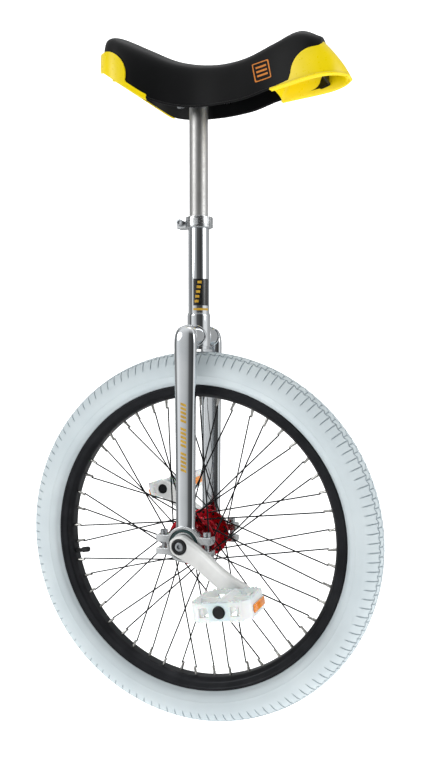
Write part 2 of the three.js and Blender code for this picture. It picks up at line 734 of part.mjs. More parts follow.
// ---------------------------------------------------------------- saddle bumpers
// The front bumper is a hollow nose with a lip that serves as the lifting handle.
const noseHalfWidth = curveThrough([[100, 28.5], [125, 31.5], [150, 35.5], [166, 36.5], [178, 35], [190, 29.5],
  [199, 20.5], [206, 9]]);
const noseEdge = curveThrough([[100, 587], [111, 589], [155, 596], [185, 600], [206, 602]]);
const noseCrown = curveThrough([[100, 653], [125, 656], [150, 660], [165, 656], [172, 651], [179, 643], [187, 634],
  [199, 618], [206, 606]]);

function noseLoft(inset, drop) {
  const stations = [100, 118, 136, 152, 167, 181, 193, 201, 206 - inset];
  return solid(loft(stations.map((x) => (
    domeRing(x, noseHalfWidth(x) - inset, noseCrown(x) - inset, noseEdge(x), drop)))));
}

// Everything beyond a round shoulder line and below its top, and a narrow strip back along the edge.
function bumperRegion(centre, radius, farEnd, ...others) {
  const round = solid(disc(radius, -90, 90, 32)).translate([centre[0], 0, centre[1]]);
  const [xa, xb] = [centre[0], farEnd].sort((a, b) => a - b);
  const beyond = solid(block([xa, -90, centre[1] - radius - 60], [xb, 90, centre[1] + radius]));
  return join(round, beyond, ...others);
}

const saddleKeepOut = saddleLoft(-clearance, 40);
const noseStrip = slice((x) => (x > 108 ? noseEdge(x) + 4 : 0), (x) => (x > 108 ? noseEdge(x) - 3 : -1));
const noseTip = solid(block([174, -90, 580], [230, 90, 670]));
const noseShell = cut(noseLoft(0, 0), noseLoft(bumperThickness, 20), saddleKeepOut);
const frontBumper = noseShell.intersect(bumperRegion([167, 604], 30, 230, noseStrip, noseTip));
atAxle.add(named('front_bumper', geometryOf(frontBumper), yellowPlastic()));

// The rear bumper is a shell close over the tail of the saddle.
const tailShell = cut(saddleLoft(-clearance - bumperThickness, 2), saddleKeepOut);
const tailStrip = slice((x) => (x < -56 ? saddleEdge(x) + 4 : 1), (x) => (x < -56 ? saddleEdge(x) - 6 : 0));
const rearBumper = tailShell.intersect(bumperRegion([-116, 620], 35, -190, tailStrip));
atAxle.add(named('rear_bumper', geometryOf(rearBumper), yellowPlastic()));

export default unicycle;
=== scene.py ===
"""Looks of a 20 inch learner's unicycle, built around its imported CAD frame.

Metres in the scene. +X is forward, +Y the rider's left, +Z up.
Pieces are drawn in millimetres from the axle, and moved into the frame when they are added.
"""

import math

import bmesh
import bpy
from bpy.props import FloatProperty, FloatVectorProperty, IntProperty, PointerProperty
from mathutils import Matrix, Vector


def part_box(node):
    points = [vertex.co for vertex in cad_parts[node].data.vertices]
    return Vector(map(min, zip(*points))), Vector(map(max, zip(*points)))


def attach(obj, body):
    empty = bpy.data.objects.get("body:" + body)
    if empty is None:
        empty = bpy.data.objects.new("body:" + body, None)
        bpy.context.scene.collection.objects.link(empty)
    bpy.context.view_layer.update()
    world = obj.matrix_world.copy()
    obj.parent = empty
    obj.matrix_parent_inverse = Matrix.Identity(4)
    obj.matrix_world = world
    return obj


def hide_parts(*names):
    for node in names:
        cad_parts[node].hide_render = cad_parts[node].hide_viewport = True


bl_info = {
    "name": "Learner's unicycle",
    "version": (1, 0, 0),
    "blender": (4, 5, 0),
    "location": "3D View > Sidebar > Unicycle",
    "description": "Builds the visible pieces of a 20 inch unicycle around its CAD frame",
    "category": "Object",
}

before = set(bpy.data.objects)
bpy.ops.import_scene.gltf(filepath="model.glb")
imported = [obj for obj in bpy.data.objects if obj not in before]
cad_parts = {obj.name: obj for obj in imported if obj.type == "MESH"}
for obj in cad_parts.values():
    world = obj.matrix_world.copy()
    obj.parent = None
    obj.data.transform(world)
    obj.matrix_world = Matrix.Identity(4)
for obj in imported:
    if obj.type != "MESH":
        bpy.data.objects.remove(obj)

MM = 0.001


# ---------------------------------------------------------------- places taken from the frame
def middle_of(node):
    low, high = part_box(node)
    return (low + high) / 2


def size_of(node):
    low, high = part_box(node)
    return high - low


AXLE = middle_of("tyre")
TYRE_RADIUS = size_of("tyre").z / 2 / MM
TYRE_HALF_WIDTH = size_of("tyre").y / 2 / MM
RIM_RADIUS = size_of("rim").z / 2 / MM
RIM_HALF_WIDTH = size_of("rim").y / 2 / MM
FLANGE_RADIUS = size_of("hub_shell").x / 2 / MM
POST_RADIUS = size_of("seat_post").x / 2 / MM
SEAT_TUBE_RADIUS = size_of("seat_tube").x / 2 / MM


def height_range(node):
    """Lowest and highest point of a node in millimetres above the axle."""
    low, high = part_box(node)
    return (low.z - AXLE.z) / MM, (high.z - AXLE.z) / MM


# ---------------------------------------------------------------- colour
def linear(hex_colour):
    """An sRGB hex colour as linear RGBA."""
    channels = [int(hex_colour[i : i + 2], 16) / 255 for i in (1, 3, 5)]
    curved = [c / 12.92 if c <= 0.04045 else ((c + 0.055) / 1.055) ** 2.4 for c in channels]
    return (*curved, 1.0)


# ---------------------------------------------------------------- drawing in millimetres
def on_wheel(radius, degrees, y):
    angle = math.radians(degrees)
    return Vector((radius * math.cos(angle), y, radius * math.sin(angle)))


def lerp(a, b, share):
    return a + (b - a) * share


def smooth_step(value, start, end):
    share = min(1.0, max(0.0, (value - start) / (end - start)))
    return share * share * (3 - 2 * share)


def curve_through(pairs):
    """A smooth curve through (x, value) pairs, with slopes taken from each point's neighbours."""
    xs = [x for x, _ in pairs]
    values = [v for _, v in pairs]
    last = len(pairs) - 1
    slopes = []
    for i in range(last + 1):
        a, b = max(0, i - 1), min(last, i + 1)
        slopes.append((values[b] - values[a]) / (xs[b] - xs[a]))

    def value_at(x):
        x = min(xs[-1], max(xs[0], x))
        i = max(k for k in range(last) if xs[k] <= x)
        span = xs[i + 1] - xs[i]
        t = (x - xs[i]) / span
        return (
            values[i] * (2 * t**3 - 3 * t**2 + 1)
            + slopes[i] * span * (t**3 - 2 * t**2 + t)
            + values[i + 1] * (3 * t**2 - 2 * t**3)
            + slopes[i + 1] * span * (t**3 - t**2)
        )

    return value_at


def rounded(corners, radius, steps=4, closed=True):
    """The outline with each corner turned into a short arc, of its own radius if it has a third number."""
    made = []
    count = len(corners)
    for i, corner in enumerate(corners):
        here = Vector(corner[:2])
        reach = corner[2] if len(corner) > 2 else radius
        if reach <= 0 or (not closed and i in (0, count - 1)):
            made.append(tuple(here))
            continue
        before = Vector(corners[i - 1][:2]) - here
        after = Vector(corners[(i + 1) % count][:2]) - here
        room = min(reach, before.length * 0.45, after.length * 0.45)
        start = here + before.normalized() * room
        end = here + after.normalized() * room
        for k in range(steps + 1):
            t = k / steps
            made.append(tuple(start * (1 - t) ** 2 + here * 2 * t * (1 - t) + end * t**2))
    return made


def arc(centre, radius, start, end, steps):
    """Points on an arc, angles in degrees."""
    angles = [math.radians(lerp(start, end, k / steps)) for k in range(steps + 1)]
    return [(centre[0] + radius * math.cos(a), centre[1] + radius * math.sin(a)) for a in angles]


def spin(profile, steps, closed=False):
    """A turned shape about the Y axis from (radius, y) points. Points on the axis become one vertex."""
    made = bmesh.new()
    rings = []
    for radius, y in profile:
        if radius < 1e-6:
            rings.append([made.verts.new((0, y, 0))])
        else:
            rings.append([made.verts.new(on_wheel(radius, 360 * k / steps, y)) for k in range(steps)])
    pairs = list(zip(rings, rings[1:]))
    if closed:
        pairs.append((rings[-1], rings[0]))
    for a, b in pairs:
        for k in range(steps):
            n = (k + 1) % steps
            corners = [a[k % len(a)], a[n % len(a)], b[n % len(b)], b[k % len(b)]]
            unique = list(dict.fromkeys(corners))
            if len(unique) > 2:
                made.faces.new(unique)
    return made


def upright(shape):
    """Turns a shape made about Y so that it stands along Z."""
    shape.transform(Matrix.Rotation(math.pi / 2, 4, "X"))
    return shape


def moved(shape, offset):
    shape.transform(Matrix.Translation(offset))
    return shape


def skin(rings, closed_ends=True, around=True):
    """A skin through rings of equal point count."""
    made = bmesh.new()
    verts = [[made.verts.new(p) for p in ring] for ring in rings]
    count = len(verts[0])
    for a, b in zip(verts, verts[1:]):
        for k in range(count if around else count - 1):
            n = (k + 1) % count
            made.faces.new((a[k], a[n], b[n], b[k]))
    if closed_ends:
        made.faces.new(verts[0])
        made.faces.new(verts[-1])
    return made


def rod(path, radius, sides=10, loop=False):
    """A round rod along a path, square to it at every point."""
    points = [Vector(p) for p in path]
    count = len(points)
    rings = []
    across = None
    for i, point in enumerate(points):
        if loop:
            along = points[(i + 1) % count] - points[i - 1]
        else:
            along = points[min(count - 1, i + 1)] - points[max(0, i - 1)]
        along.normalize()
        if across is None:
            across = along.orthogonal().normalized()
        across = (across - along * across.dot(along)).normalized()
        other = along.cross(across)
        size = radius[i] if isinstance(radius, (list, tuple)) else radius
        turns = [2 * math.pi * k / sides for k in range(sides)]
        rings.append([point + (across * math.cos(a) + other * math.sin(a)) * size for a in turns])
    if not loop:
        return skin(rings)
    first = rings[0]
    last = rings[-1]
    shift = min(range(sides), key=lambda s: (last[s] - first[0]).length)
    made = skin(rings, closed_ends=False)
    made.verts.ensure_lookup_table()
    end = (count - 1) * sides
    for k in range(sides):
        n = (k + 1) % sides
        corners = (end + (k + shift) % sides, end + (n + shift) % sides, n, k)
        made.faces.new([made.verts[c] for c in corners])
    return made


def joined(*shapes):
    """Several shapes as one."""
    made = bmesh.new()
    for shape in shapes:
        carrier = bpy.data.meshes.new("carrier")
        shape.to_mesh(carrier)
        made.from_mesh(carrier)
        bpy.data.meshes.remove(carrier)
        shape.free()
    return made


def evaluated(obj):
    """The shape an object has once its modifiers are applied. The object is removed."""
    bpy.context.view_layer.update()
    graph = bpy.context.evaluated_depsgraph_get()
    mesh = bpy.data.meshes.new_from_object(obj.evaluated_get(graph))
    made = bmesh.new()
    made.from_mesh(mesh)
    bpy.data.meshes.remove(mesh)
    data = obj.data
    bpy.data.objects.remove(obj)
    if isinstance(data, bpy.types.Mesh):
        bpy.data.meshes.remove(data)
    else:
        bpy.data.curves.remove(data)
    return made


def scratch(shape):
    """A shape as a loose object for a modifier to work on."""
    bmesh.ops.recalc_face_normals(shape, faces=shape.faces)
    mesh = bpy.data.meshes.new("scratch")
    shape.to_mesh(mesh)
    shape.free()
    obj = bpy.data.objects.new("scratch", mesh)
    bpy.context.scene.collection.objects.link(obj)
    return obj


def carved(shape, *tools, operation="DIFFERENCE", folded=False):
    """The shape cut by the tools, or kept only where it meets them. Folded: the wall meets itself."""
    body = scratch(shape)
    cutters = [scratch(tool) for tool in tools]
    for cutter in cutters:
        step = body.modifiers.new("carve", "BOOLEAN")
        step.operation = operation
        step.solver = "EXACT"
        step.use_self = folded
        step.object = cutter
    made = evaluated(body)
    for cutter in cutters:
        data = cutter.data
        bpy.data.objects.remove(cutter)
        bpy.data.meshes.remove(data)
    return made


def softened(shape, width, segments=2, angle=30):
    """The shape with its sharp edges rounded."""
    bmesh.ops.recalc_face_normals(shape, faces=shape.faces)
    limit = math.radians(angle)
    edges = [e for e in shape.edges if len(e.link_faces) == 2 and e.calc_face_angle() > limit]
    bmesh.ops.bevel(
        shape, geom=edges, offset=width, segments=segments, profile=0.5, affect="EDGES", clamp_overlap=True
    )
    return shape


def thickened(shape, thickness):
    """An open skin given a wall on its inner side."""
    body = scratch(shape)
    step = body.modifiers.new("wall", "SOLIDIFY")
    step.thickness = thickness
    step.offset = -1
    step.use_even_offset = True
    return evaluated(body)


def slab(loops, thickness, edge, axis="Z", steps=2):
    """Outlines in a plane, holes included, given a thickness and a rounded edge. Centred on the plane."""
    curve = bpy.data.curves.new("outline", "CURVE")
    curve.dimensions = "2D"
    curve.fill_mode = "BOTH"
    curve.extrude = thickness / 2 - edge
    curve.bevel_depth = edge
    curve.bevel_resolution = steps
    curve.offset = -edge
    for i, loop in enumerate(loops):
        area = sum(a[0] * b[1] - b[0] * a[1] for a, b in zip(loop, loop[1:] + loop[:1]))
        if (area > 0) != (i == 0):
            loop = loop[::-1]
        spline = curve.splines.new("POLY")
        spline.points.add(len(loop) - 1)
        for point, (x, y) in zip(spline.points, loop):
            point.co = (x, y, 0, 1)
        spline.use_cyclic_u = True
    obj = bpy.data.objects.new("outline", curve)
    bpy.context.scene.collection.objects.link(obj)
    made = evaluated(obj)
    bmesh.ops.remove_doubles(made, verts=made.verts, dist=1e-3)
    if axis == "Y":
        made.transform(Matrix.Rotation(math.pi / 2, 4, "X"))
    if axis == "X":
        made.transform(Matrix(((0, 0, 1, 0), (1, 0, 0, 0), (0, 1, 0, 0), (0, 0, 0, 1))))
    return made


def box_shape(low, high, edge=0.0, segments=2):
    """A block between two corners with rounded edges."""
    made = bmesh.new()
    bmesh.ops.create_cube(made, size=1)
    low, high = Vector(low), Vector(high)
    made.transform(Matrix.Translation((low + high) / 2) @ Matrix.Diagonal((*(high - low), 1)))
    return softened(made, edge, segments) if edge else made


def screw(head_radius, head_height, shank_radius, shank_length, socket_radius, knurls=0, edge=0.5):
    """A socket screw along Z: the head stands on Z=0 and the shank hangs below it."""
    profile = [
        (0, -shank_length),
        (shank_radius, -shank_length, 0.4),
        (shank_radius, 0, 0),
        (head_radius, 0, edge / 2),
        (head_radius, head_height, edge),
        (0, head_height),
    ]
    made = spin(rounded(profile, 0.3, 3, closed=False), 48)
    for vert in made.verts:
        across = math.hypot(vert.co.x, vert.co.z)
        if knurls and across > head_radius * 0.98 and 0.6 < vert.co.y < head_height - edge - 0.1:
            turn = math.atan2(vert.co.z, vert.co.x)
            swell = 1 + 0.02 * math.cos(knurls * turn)
            vert.co.x *= swell
            vert.co.z *= swell
    socket = spin(
        [
            (0, head_height * 0.45), (socket_radius, head_height * 0.5), (socket_radius, head_height + 1),
            (0, head_height + 1)
        ], 6
    )
    made = carved(made, socket)
    made.transform(Matrix.Rotation(math.pi / 2, 4, "X"))
    return made


def hex_head(width_radius, height, washer_radius=0.0):
    """A six-sided bolt head with chamfered corners, standing up from Z=0."""
    head = spin([(0, 0), (width_radius, 0), (width_radius, height), (0, height)], 6)
    dome = spin(
        [
            (0, -1), (width_radius * 1.1, -1), (width_radius * 1.1, height * 0.72),
            (width_radius * 0.86, height), (0, height)
        ],
        32
    )
    made = carved(head, dome, operation="INTERSECT")
    if washer_radius:
        rim = [(0, -0.1), (washer_radius, -0.1), (washer_radius, 0.9), (width_radius * 0.9, 1.5), (0, 1.5)]
        made = joined(made, spin(rounded(rim, 0.3, 3, closed=False), 40))
    made.transform(Matrix.Rotation(math.pi / 2, 4, "X"))
    return made


def add_piece(name, shape, body, slot, material, stands_for=(), place=None, angle=32):
    """Moves a drawn shape into the frame as a named piece that rides on a body."""
    bmesh.ops.recalc_face_normals(shape, faces=shape.faces)
    if place is not None:
        shape.transform(place)
    shape.transform(Matrix.Translation(AXLE) @ Matrix.Scale(MM, 4))
    mesh = bpy.data.meshes.new(name)
    shape.to_mesh(mesh)
    shape.free()
    mesh.shade_smooth()
    mesh.set_sharp_from_angle(angle=math.radians(angle))
    mesh.materials.append(bpy.data.materials[material])
    piece = bpy.data.objects.new(name, mesh)
    bpy.context.scene.collection.objects.link(piece)
    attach(piece, body)
    if stands_for:
        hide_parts(*stands_for)
    return piece


def refinish(node_name, material):
    """A CAD node keeps its shape and takes a worked finish."""
    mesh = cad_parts[node_name].data
    mesh.materials.clear()
    mesh.materials.append(bpy.data.materials[material])


# ---------------------------------------------------------------- finishes
def add_node(tree, kind, settings=None, links=None):
    """Adds one node. Settings fill inputs or properties, and links feed inputs from other sockets."""
    made = tree.nodes.new(kind)
    for key, value in (settings or {}).items():
        if isinstance(key, int) or key in made.inputs:
            made.inputs[key].default_value = value
        else:
            setattr(made, key, value)
    for key, socket in (links or {}).items():
        tree.links.new(socket, made.inputs[key])
    return made


def blank_finish(name):
    """A new material's tree with a lone Principled shader in it."""
    made = bpy.data.materials.new(name)
    made.use_nodes = True
    tree = made.node_tree
    tree.nodes.clear()
    shader = add_node(tree, "ShaderNodeBsdfPrincipled")
    add_node(tree, "ShaderNodeOutputMaterial", links={"Surface": shader.outputs["BSDF"]})
    return tree, shader


def object_place(tree, stretch=(1.0, 1.0, 1.0)):
    """The point on the piece, in metres, stretched along its axes."""
    place = add_node(tree, "ShaderNodeTexCoord")
    return add_node(
        tree, "ShaderNodeMapping", {"Scale": stretch}, {"Vector": place.outputs["Object"]}
    ).outputs["Vector"]


def spread(tree, source, low, high):
    """Stretches a 0 to 1 pattern's busy middle over the range from low to high."""
    return add_node(
        tree,
        "ShaderNodeMapRange",
        {"From Min": 0.3, "From Max": 0.7, "To Min": low, "To Max": high},
        {"Value": source},
    ).outputs["Result"]


def make_finish(
    name,
    colours,
    gloss,
    grain_mm,
    relief_mm,
    drift_mm=40.0,
    stretch=(1.0, 1.0, 1.0),
    detail=3.0,
    **constants,
):
    """A finish whose colour drifts between two close tones, with gloss and relief along a fine grain."""
    tree, shader = blank_finish(name)
    place = object_place(tree, stretch)
    plain_place = object_place(tree)
    grain = add_node(
        tree, "ShaderNodeTexNoise", {"Scale": 1 / (grain_mm * MM), "Detail": detail}, {"Vector": place}
    ).outputs["Fac"]
    drift = add_node(
        tree, "ShaderNodeTexNoise", {"Scale": 1 / (drift_mm * MM), "Detail": 2.0}, {"Vector": plain_place}
    ).outputs["Fac"]
    blend = add_node(
        tree,
        "ShaderNodeMix",
        {"data_type": "RGBA", 6: linear(colours[0]), 7: linear(colours[1])},
        {0: spread(tree, drift, 0.0, 1.0)},
    )
    tree.links.new(blend.outputs[2], shader.inputs["Base Color"])
    tree.links.new(spread(tree, grain, *gloss), shader.inputs["Roughness"])
    if relief_mm:
        bump = add_node(
            tree, "ShaderNodeBump", {"Strength": 1.0, "Distance": relief_mm * MM}, {"Height": grain}
        )
        tree.links.new(bump.outputs["Normal"], shader.inputs["Normal"])
    for socket, value in constants.items():
        shader.inputs[socket.replace("_", " ")].default_value = value
    return tree, shader


def paint_shade_in_grooves(tree, shader, dark, attribute="groove"):
    """Paints shade into the finish: the colour turns darker where the mesh says a groove runs."""
    base = shader.inputs["Base Color"].links[0].from_socket
    groove = add_node(tree, "ShaderNodeAttribute", {"attribute_name": attribute}).outputs["Fac"]
    mixed = add_node(
        tree, "ShaderNodeMix", {"data_type": "RGBA", 7: linear(dark)}, {0: groove, 6: base}
    )
    tree.links.new(mixed.outputs[2], shader.inputs["Base Color"])


def make_all_finishes(colours):
    """Mixes every finish on the object."""
    # Chromed steel tube: a mirror with the faint waviness of polished tube under the plating.
    make_finish(
        "chromed_steel_polished", ("#E3E5E7", "#D7DADD"), (0.045, 0.075), 18, 0.012, Metallic=1.0
    )
    # Steel post, centreless ground: fine rings round the tube that blur the reflection along it.
    make_finish(
        "steel_post_ground",
        ("#D2D1CF", "#C6C5C3"),
        (0.40, 0.50),
        1.2,
        0.004,
        stretch=(0.04, 0.04, 1.0),
        Metallic=1.0,
    )
    # Zinc plated steel: a slightly milky metal, with a patchy sheen from the bath.
    make_finish("steel_zinc_plated", ("#C8CACC", "#AEB2B6"), (0.22, 0.36), 3, 0.01, 9, Metallic=1.0)
    # Nickel plated brass nipples: bright and smooth with warm grey in the turns.
    make_finish("brass_nickel_plated", ("#D9D7D2", "#C3C1BC"), (0.14, 0.24), 2, 0.004, 6, Metallic=1.0)
    # Hardened bearing steel, ground: dark bright bands round the ring.
    make_finish("bearing_steel_ground", ("#A3A7AB", "#8E9296"), (0.14, 0.24), 1.5, 0.004, Metallic=1.0)
    # Cast aluminium, tumbled and polished: a bright satin with small softened pits.
    make_finish("aluminium_cast_polished", ("#E2E3E4", "#D0D2D3"), (0.16, 0.30), 2.4, 0.022, 12, Metallic=1.0)
    # Forged aluminium, shot blasted and silver anodised: a pale even satin with soft edges.
    make_finish(
        "aluminium_blasted_silver", (
            "#F3F3F1", "#E8E8E6"
        ), (0.42, 0.52), 1.4, 0.012, 18, Metallic=0.55, IOR=1.5
    )
    # Black oxide steel: dark and dry, with a dull line of light.
    make_finish("steel_black_oxide", ("#18191A", "#101112"), (0.38, 0.5), 1.5, 0.01, 8, Metallic=0.6)
    # Red anodised aluminium hub: saturated dye under a clear hard skin, turned lines showing through.
    make_finish(
        "aluminium_anodised_red",
        ("#CE1226", "#AE0C1E"),
        (0.20, 0.34),
        1.2,
        0.012,
        8,
        stretch=(0.2, 3.0, 0.2),
        Metallic=0.92,
        Coat_Weight=0.35,
        Coat_Roughness=0.12,
    )
    # Black anodised rim extrusion: dark grey satin, fine die lines running round it.
    make_finish(
        "aluminium_anodised_black",
        ("#2E2F32", "#222326"),
        (0.30, 0.44),
        1.4,
        0.012,
        30,
        stretch=(0.3, 2.5, 0.3),
        Metallic=0.75,
    )
    # Black plated stainless wire: thin dark spokes with a soft line of light along them.
    make_finish("steel_wire_blackened", ("#191A1C", "#0D0E10"), (0.28, 0.40), 1.0, 0.003, 20, Metallic=0.7)
    # Pale rubber, moulded: a dry matt wall, the mould's blasted face as a fine grain.
    tree, shader = make_finish(
        "rubber_moulded_pale", ("#CDD6D9", "#C4CED2"), (0.60, 0.74), 1.8, 0.03, 60, IOR=1.45
    )
    # Painted shade: the tread's grooves take a darker grey than the rubber around them.
    paint_shade_in_grooves(tree, shader, "#AEB9BE")
    # Black butyl rubber: soft dark grey with talc left in the grain.
    make_finish("rubber_butyl_black", ("#1E1E1F", "#141415"), (0.62, 0.80), 1.5, 0.03, 15, IOR=1.52)
    # Nitrile seal rubber, teal: matt lip seal over the bearing.
    make_finish("rubber_nitrile_teal", ("#2C4C4B", "#213B3B"), (0.45, 0.6), 1.2, 0.02, 5, IOR=1.52)
    # Black polypropylene, moulded: low gloss with a light spark-eroded grain.
    make_finish("polypropylene_moulded_black", ("#17181A", "#101113"), (0.36, 0.50), 1.4, 0.03, 20, IOR=1.49)
    # White polycarbonate, moulded: glossy, and light sinks a little way into its thin walls.
    make_finish(
        "polycarbonate_moulded_white",
        ("#EFF1F0", "#E2E6E5"),
        (0.16, 0.26),
        6,
        0.02,
        25,
        IOR=1.58,
        Subsurface_Weight=0.25,
        Subsurface_Scale=0.004,
        Coat_Weight=0.25,
        Coat_Roughness=0.08,
    )
    # Satin vinyl skin over foam: black with a fine leather grain and soft broad highlights.
    skin_tree, skin = make_finish(
        "vinyl_skin_grained", ("#08080A", "#040405"), (0.42, 0.52), 1.6, 0.0, 50, IOR=1.33
    )
    # The real grain is about 0.8 mm across and is drawn at 1.7 mm, so that it shows.
    cells = add_node(
        skin_tree,
        "ShaderNodeTexVoronoi",
        {"feature": "SMOOTH_F1", "Scale": 1 / (1.7 * MM), "Smoothness": 0.6},
        {"Vector": object_place(skin_tree)},
    )
    skin_bump = add_node(
        skin_tree,
        "ShaderNodeBump",
        {"Strength": 0.5, "Distance": 0.06 * MM},
        {"Height": cells.outputs["Distance"]},
    )
    skin_tree.links.new(skin_bump.outputs["Normal"], skin.inputs["Normal"])
    # Polyurethane foam, moulded: open matt cells.
    make_finish("polyurethane_foam_grey", ("#3F3F40", "#333334"), (0.85, 0.95), 1.2, 0.12, 12, IOR=1.4)
    # Yellow polypropylene, moulded: an even bright colour with a smooth, half gloss face.
    make_finish(
        "polypropylene_moulded_yellow",
        (colours.bumper_hex, "#EAD000"),
        (0.26, 0.36),
        4,
        0.02,
        40,
        IOR=1.49,
    )
    # Gold ink, pad printed: a thin warm film with a slightly metallic glint.
    make_finish("ink_printed_gold", ("#C39A2C", "#AC8420"), (0.34, 0.46), 1.0, 0.0, 6)
    # Orange ink, pad printed on vinyl.
    make_finish("ink_printed_orange", ("#D9822B", "#C47324"), (0.40, 0.52), 1.0, 0.0, 6)
    # Black ink, pad printed on chrome.
    make_finish("ink_printed_black", ("#121212", "#1B1B1B"), (0.22, 0.30), 1.0, 0.0, 6, Coat_Weight=0.5)
    make_amber_lens()
    make_studio_finishes()


def make_amber_lens():
    """Amber acrylic reflector, moulded: a glossy lens over rows of small prisms, drawn at 2.4 mm."""
    tree, shader = blank_finish("acrylic_moulded_amber")
    place = object_place(tree)
    prisms = add_node(
        tree,
        "ShaderNodeTexVoronoi",
        {"feature": "F1", "distance": "CHEBYCHEV", "Scale": 1 / (2.4 * MM), "Randomness": 0.0},
        {"Vector": place},
    ).outputs["Distance"]
    tone = add_node(
        tree,
        "ShaderNodeMix",
        {"data_type": "RGBA", 6: linear("#FF9A1F"), 7: linear("#C75405")},
        {0: spread(tree, prisms, 0.0, 1.0)},
    )
    bump = add_node(tree, "ShaderNodeBump", {"Strength": 0.5, "Distance": 0.4 * MM}, {"Height": prisms})
    tree.links.new(tone.outputs[2], shader.inputs["Base Color"])
    tree.links.new(bump.outputs["Normal"], shader.inputs["Normal"])
    tree.links.new(spread(tree, prisms, 0.12, 0.2), shader.inputs["Roughness"])
    shader.inputs["IOR"].default_value = 1.49
    shader.inputs["Coat Weight"].default_value = 0.8
    shader.inputs["Coat Roughness"].default_value = 0.05


def make_studio_finishes():
    """The paper sweep under and behind the object."""
    _, shader = make_finish("studio_paper_white", ("#FBFBFB", "#F6F6F6"), (0.8, 0.9), 3, 0.0, 400)
    shader.inputs["Emission Color"].default_value = linear("#FFFFFF")
    shader.inputs["Emission Strength"].default_value = 0.75
    shader.inputs["Specular IOR Level"].default_value = 0.1


# ---------------------------------------------------------------- wheel
VALVE_ANGLE = 190.4
RIM_INNER_RADIUS = 192.6
NIPPLE_TIP = 190.4
SPOKES = 48
FIRST_SPOKE_ANGLE = -0.88
SPOKE_LEAN = 60.0
SPOKE_CIRCLE = 28.8
FLANGE_OFFSET = 27.0
FLANGE_THICKNESS = 3.0


def tyre_section():
    """Lateral distance from the crown, radius and half width, from the crown down to the bead."""
    bulge_centre = 229.0
    bulge_height = TYRE_RADIUS - bulge_centre
    points = []
    for k in range(0, 69):
        turn = math.radians(2.0 * k)
        radius = bulge_centre + bulge_height * math.cos(turn)
        if radius < 213.5:
            break
        points.append((radius, TYRE_HALF_WIDTH * math.sin(turn)))
    points += [(211.6, 17.2), (210.2, 14.0), (209.6, 12.3), (204.2, 12.3), (204.2, 8.9)]
    section = []
    walked = 0.0
    for i, point in enumerate(points):
        if i:
            walked += math.dist(point, points[i - 1])
        section.append((walked, *point))
    return section


def at_distance(section, walked):
    """Radius and half width at a distance from the crown."""
    for a, b in zip(section, section[1:]):
        if a[0] <= walked <= b[0]:
            share = (walked - a[0]) / (b[0] - a[0])
            return lerp(a[1], b[1], share), lerp(a[2], b[2], share)
    return section[-1][1:]


def tread_rows(looks):
    """Rows of the tread from the crown outward: distance, whether a ring groove runs, the cuts' phase."""
    half = looks.groove_width / MM / 2
    lip = 0.28
    rows = [(0.0, False, 0), (2.4, False, 0)]
    bands = [(5.0, 0), (14.4, 1)]
    spacing = [(8.0, 1), (11.2, 1)], [(17.5, 0), (20.5, 0), (23.5, 0), (26.0, 0), (28.5, 0), (30.6, 0)]
    for (centre, phase), between in zip(bands, spacing):
        rows.append((centre - half - lip, False, phase))
        rows.append((centre - half, True, phase))
        rows.append((centre + half, True, phase))
        rows.append((centre + half + lip, False, 1 - phase))
        rows += [(walked, False, phase_there) for walked, phase_there in between]
    return rows


def build_tyre(looks):
    """Casing, tread blocks and shoulder cuts of the tyre as one closed mesh."""
    section = tyre_section()
    total = section[-1][0]
    half = looks.groove_width / MM / 2
    depth = looks.tread_depth / MM
    pitch = 360 / looks.shoulder_cuts
    crown_radius = TYRE_RADIUS
    half_turn = math.degrees(half / crown_radius)
    lip_turn = math.degrees(0.28 / crown_radius)
    columns = []
    for k in range(looks.shoulder_cuts):
        for phase in (0, 1):
            middle = pitch * (k + phase / 2)
            edge = half_turn + lip_turn
            for offset, low in ((-edge, False), (-half_turn, True), (half_turn, True), (edge, False)):
                columns.append((middle + offset, phase, low))
    fade_start, fade_end = 28.5, 33.5
    side_rows = [fade_end, 36, 39, 42, 45, 47.2, 48.0, 48.8, 50.5, 53, 56, 59, 62, 65, 68]
    side_rows = [w for w in side_rows if w < total - 7] + [w for w, _, _ in section[-5:]]
    half_rows = tread_rows(looks) + [(w, False, -1) for w in side_rows]
    ridge_from_bead = 48.0
    rows = [(-w, ring, phase) for w, ring, phase in half_rows[:0:-1]] + half_rows
    inner = [(8.9, 210.5), (16.0, 216.0), (21.6, 226.0), (20.5, 237.0), (11.0, 246.6), (0.0, 249.0)]
    inner_path = [(y, r) for y, r in inner] + [(-y, r) for y, r in inner[-2::-1]]
    zigzag = looks.zigzag / MM
    verts = []
    groove_values = []
    for turn, column_phase, low in columns:
        wobble = zigzag if column_phase == 0 else -zigzag
        for walked, is_ring, phase in rows:
            side = -1 if walked < 0 else 1
            distance = abs(walked)
            shift = wobble * side if 2.5 < distance < 17 else 0.0
            radius, y = at_distance(section, max(0.0, distance + shift))
            sunk = 0.0
            if is_ring or (low and phase == column_phase):
                sunk = 1.0
            if phase == 0 and low and column_phase == 0:
                sunk *= 1 - smooth_step(distance, fade_start, fade_end)
            raised = 0.35 if abs(distance - ridge_from_bead) < 0.1 else 0.0
            scale = 1 - (sunk * depth - raised) / max(1.0, math.hypot(radius - 229, y))
            radius = 229 + (radius - 229) * scale
            y *= scale
            verts.append(on_wheel(radius, turn, side * y))
            groove_values.append(sunk)
        for y, radius in inner_path:
            verts.append(on_wheel(radius, turn, y))
            groove_values.append(0.0)
    per_column = len(rows) + len(inner_path)
    faces = []
    for c in range(len(columns)):
        here = c * per_column
        there = ((c + 1) % len(columns)) * per_column
        for k in range(per_column):
            n = (k + 1) % per_column
            faces.append((here + k, here + n, there + n, there + k))
    mesh = bpy.data.meshes.new("tyre_casing")
    mesh.from_pydata(verts, [], faces)
    # The groove share also marks where the finish paints shade into the grooves.
    carrier = mesh.attributes.new("groove", "FLOAT", "POINT")
    carrier.data.foreach_set("value", groove_values)
    shape = bmesh.new()
    shape.from_mesh(mesh)
    bpy.data.meshes.remove(mesh)
    return shape


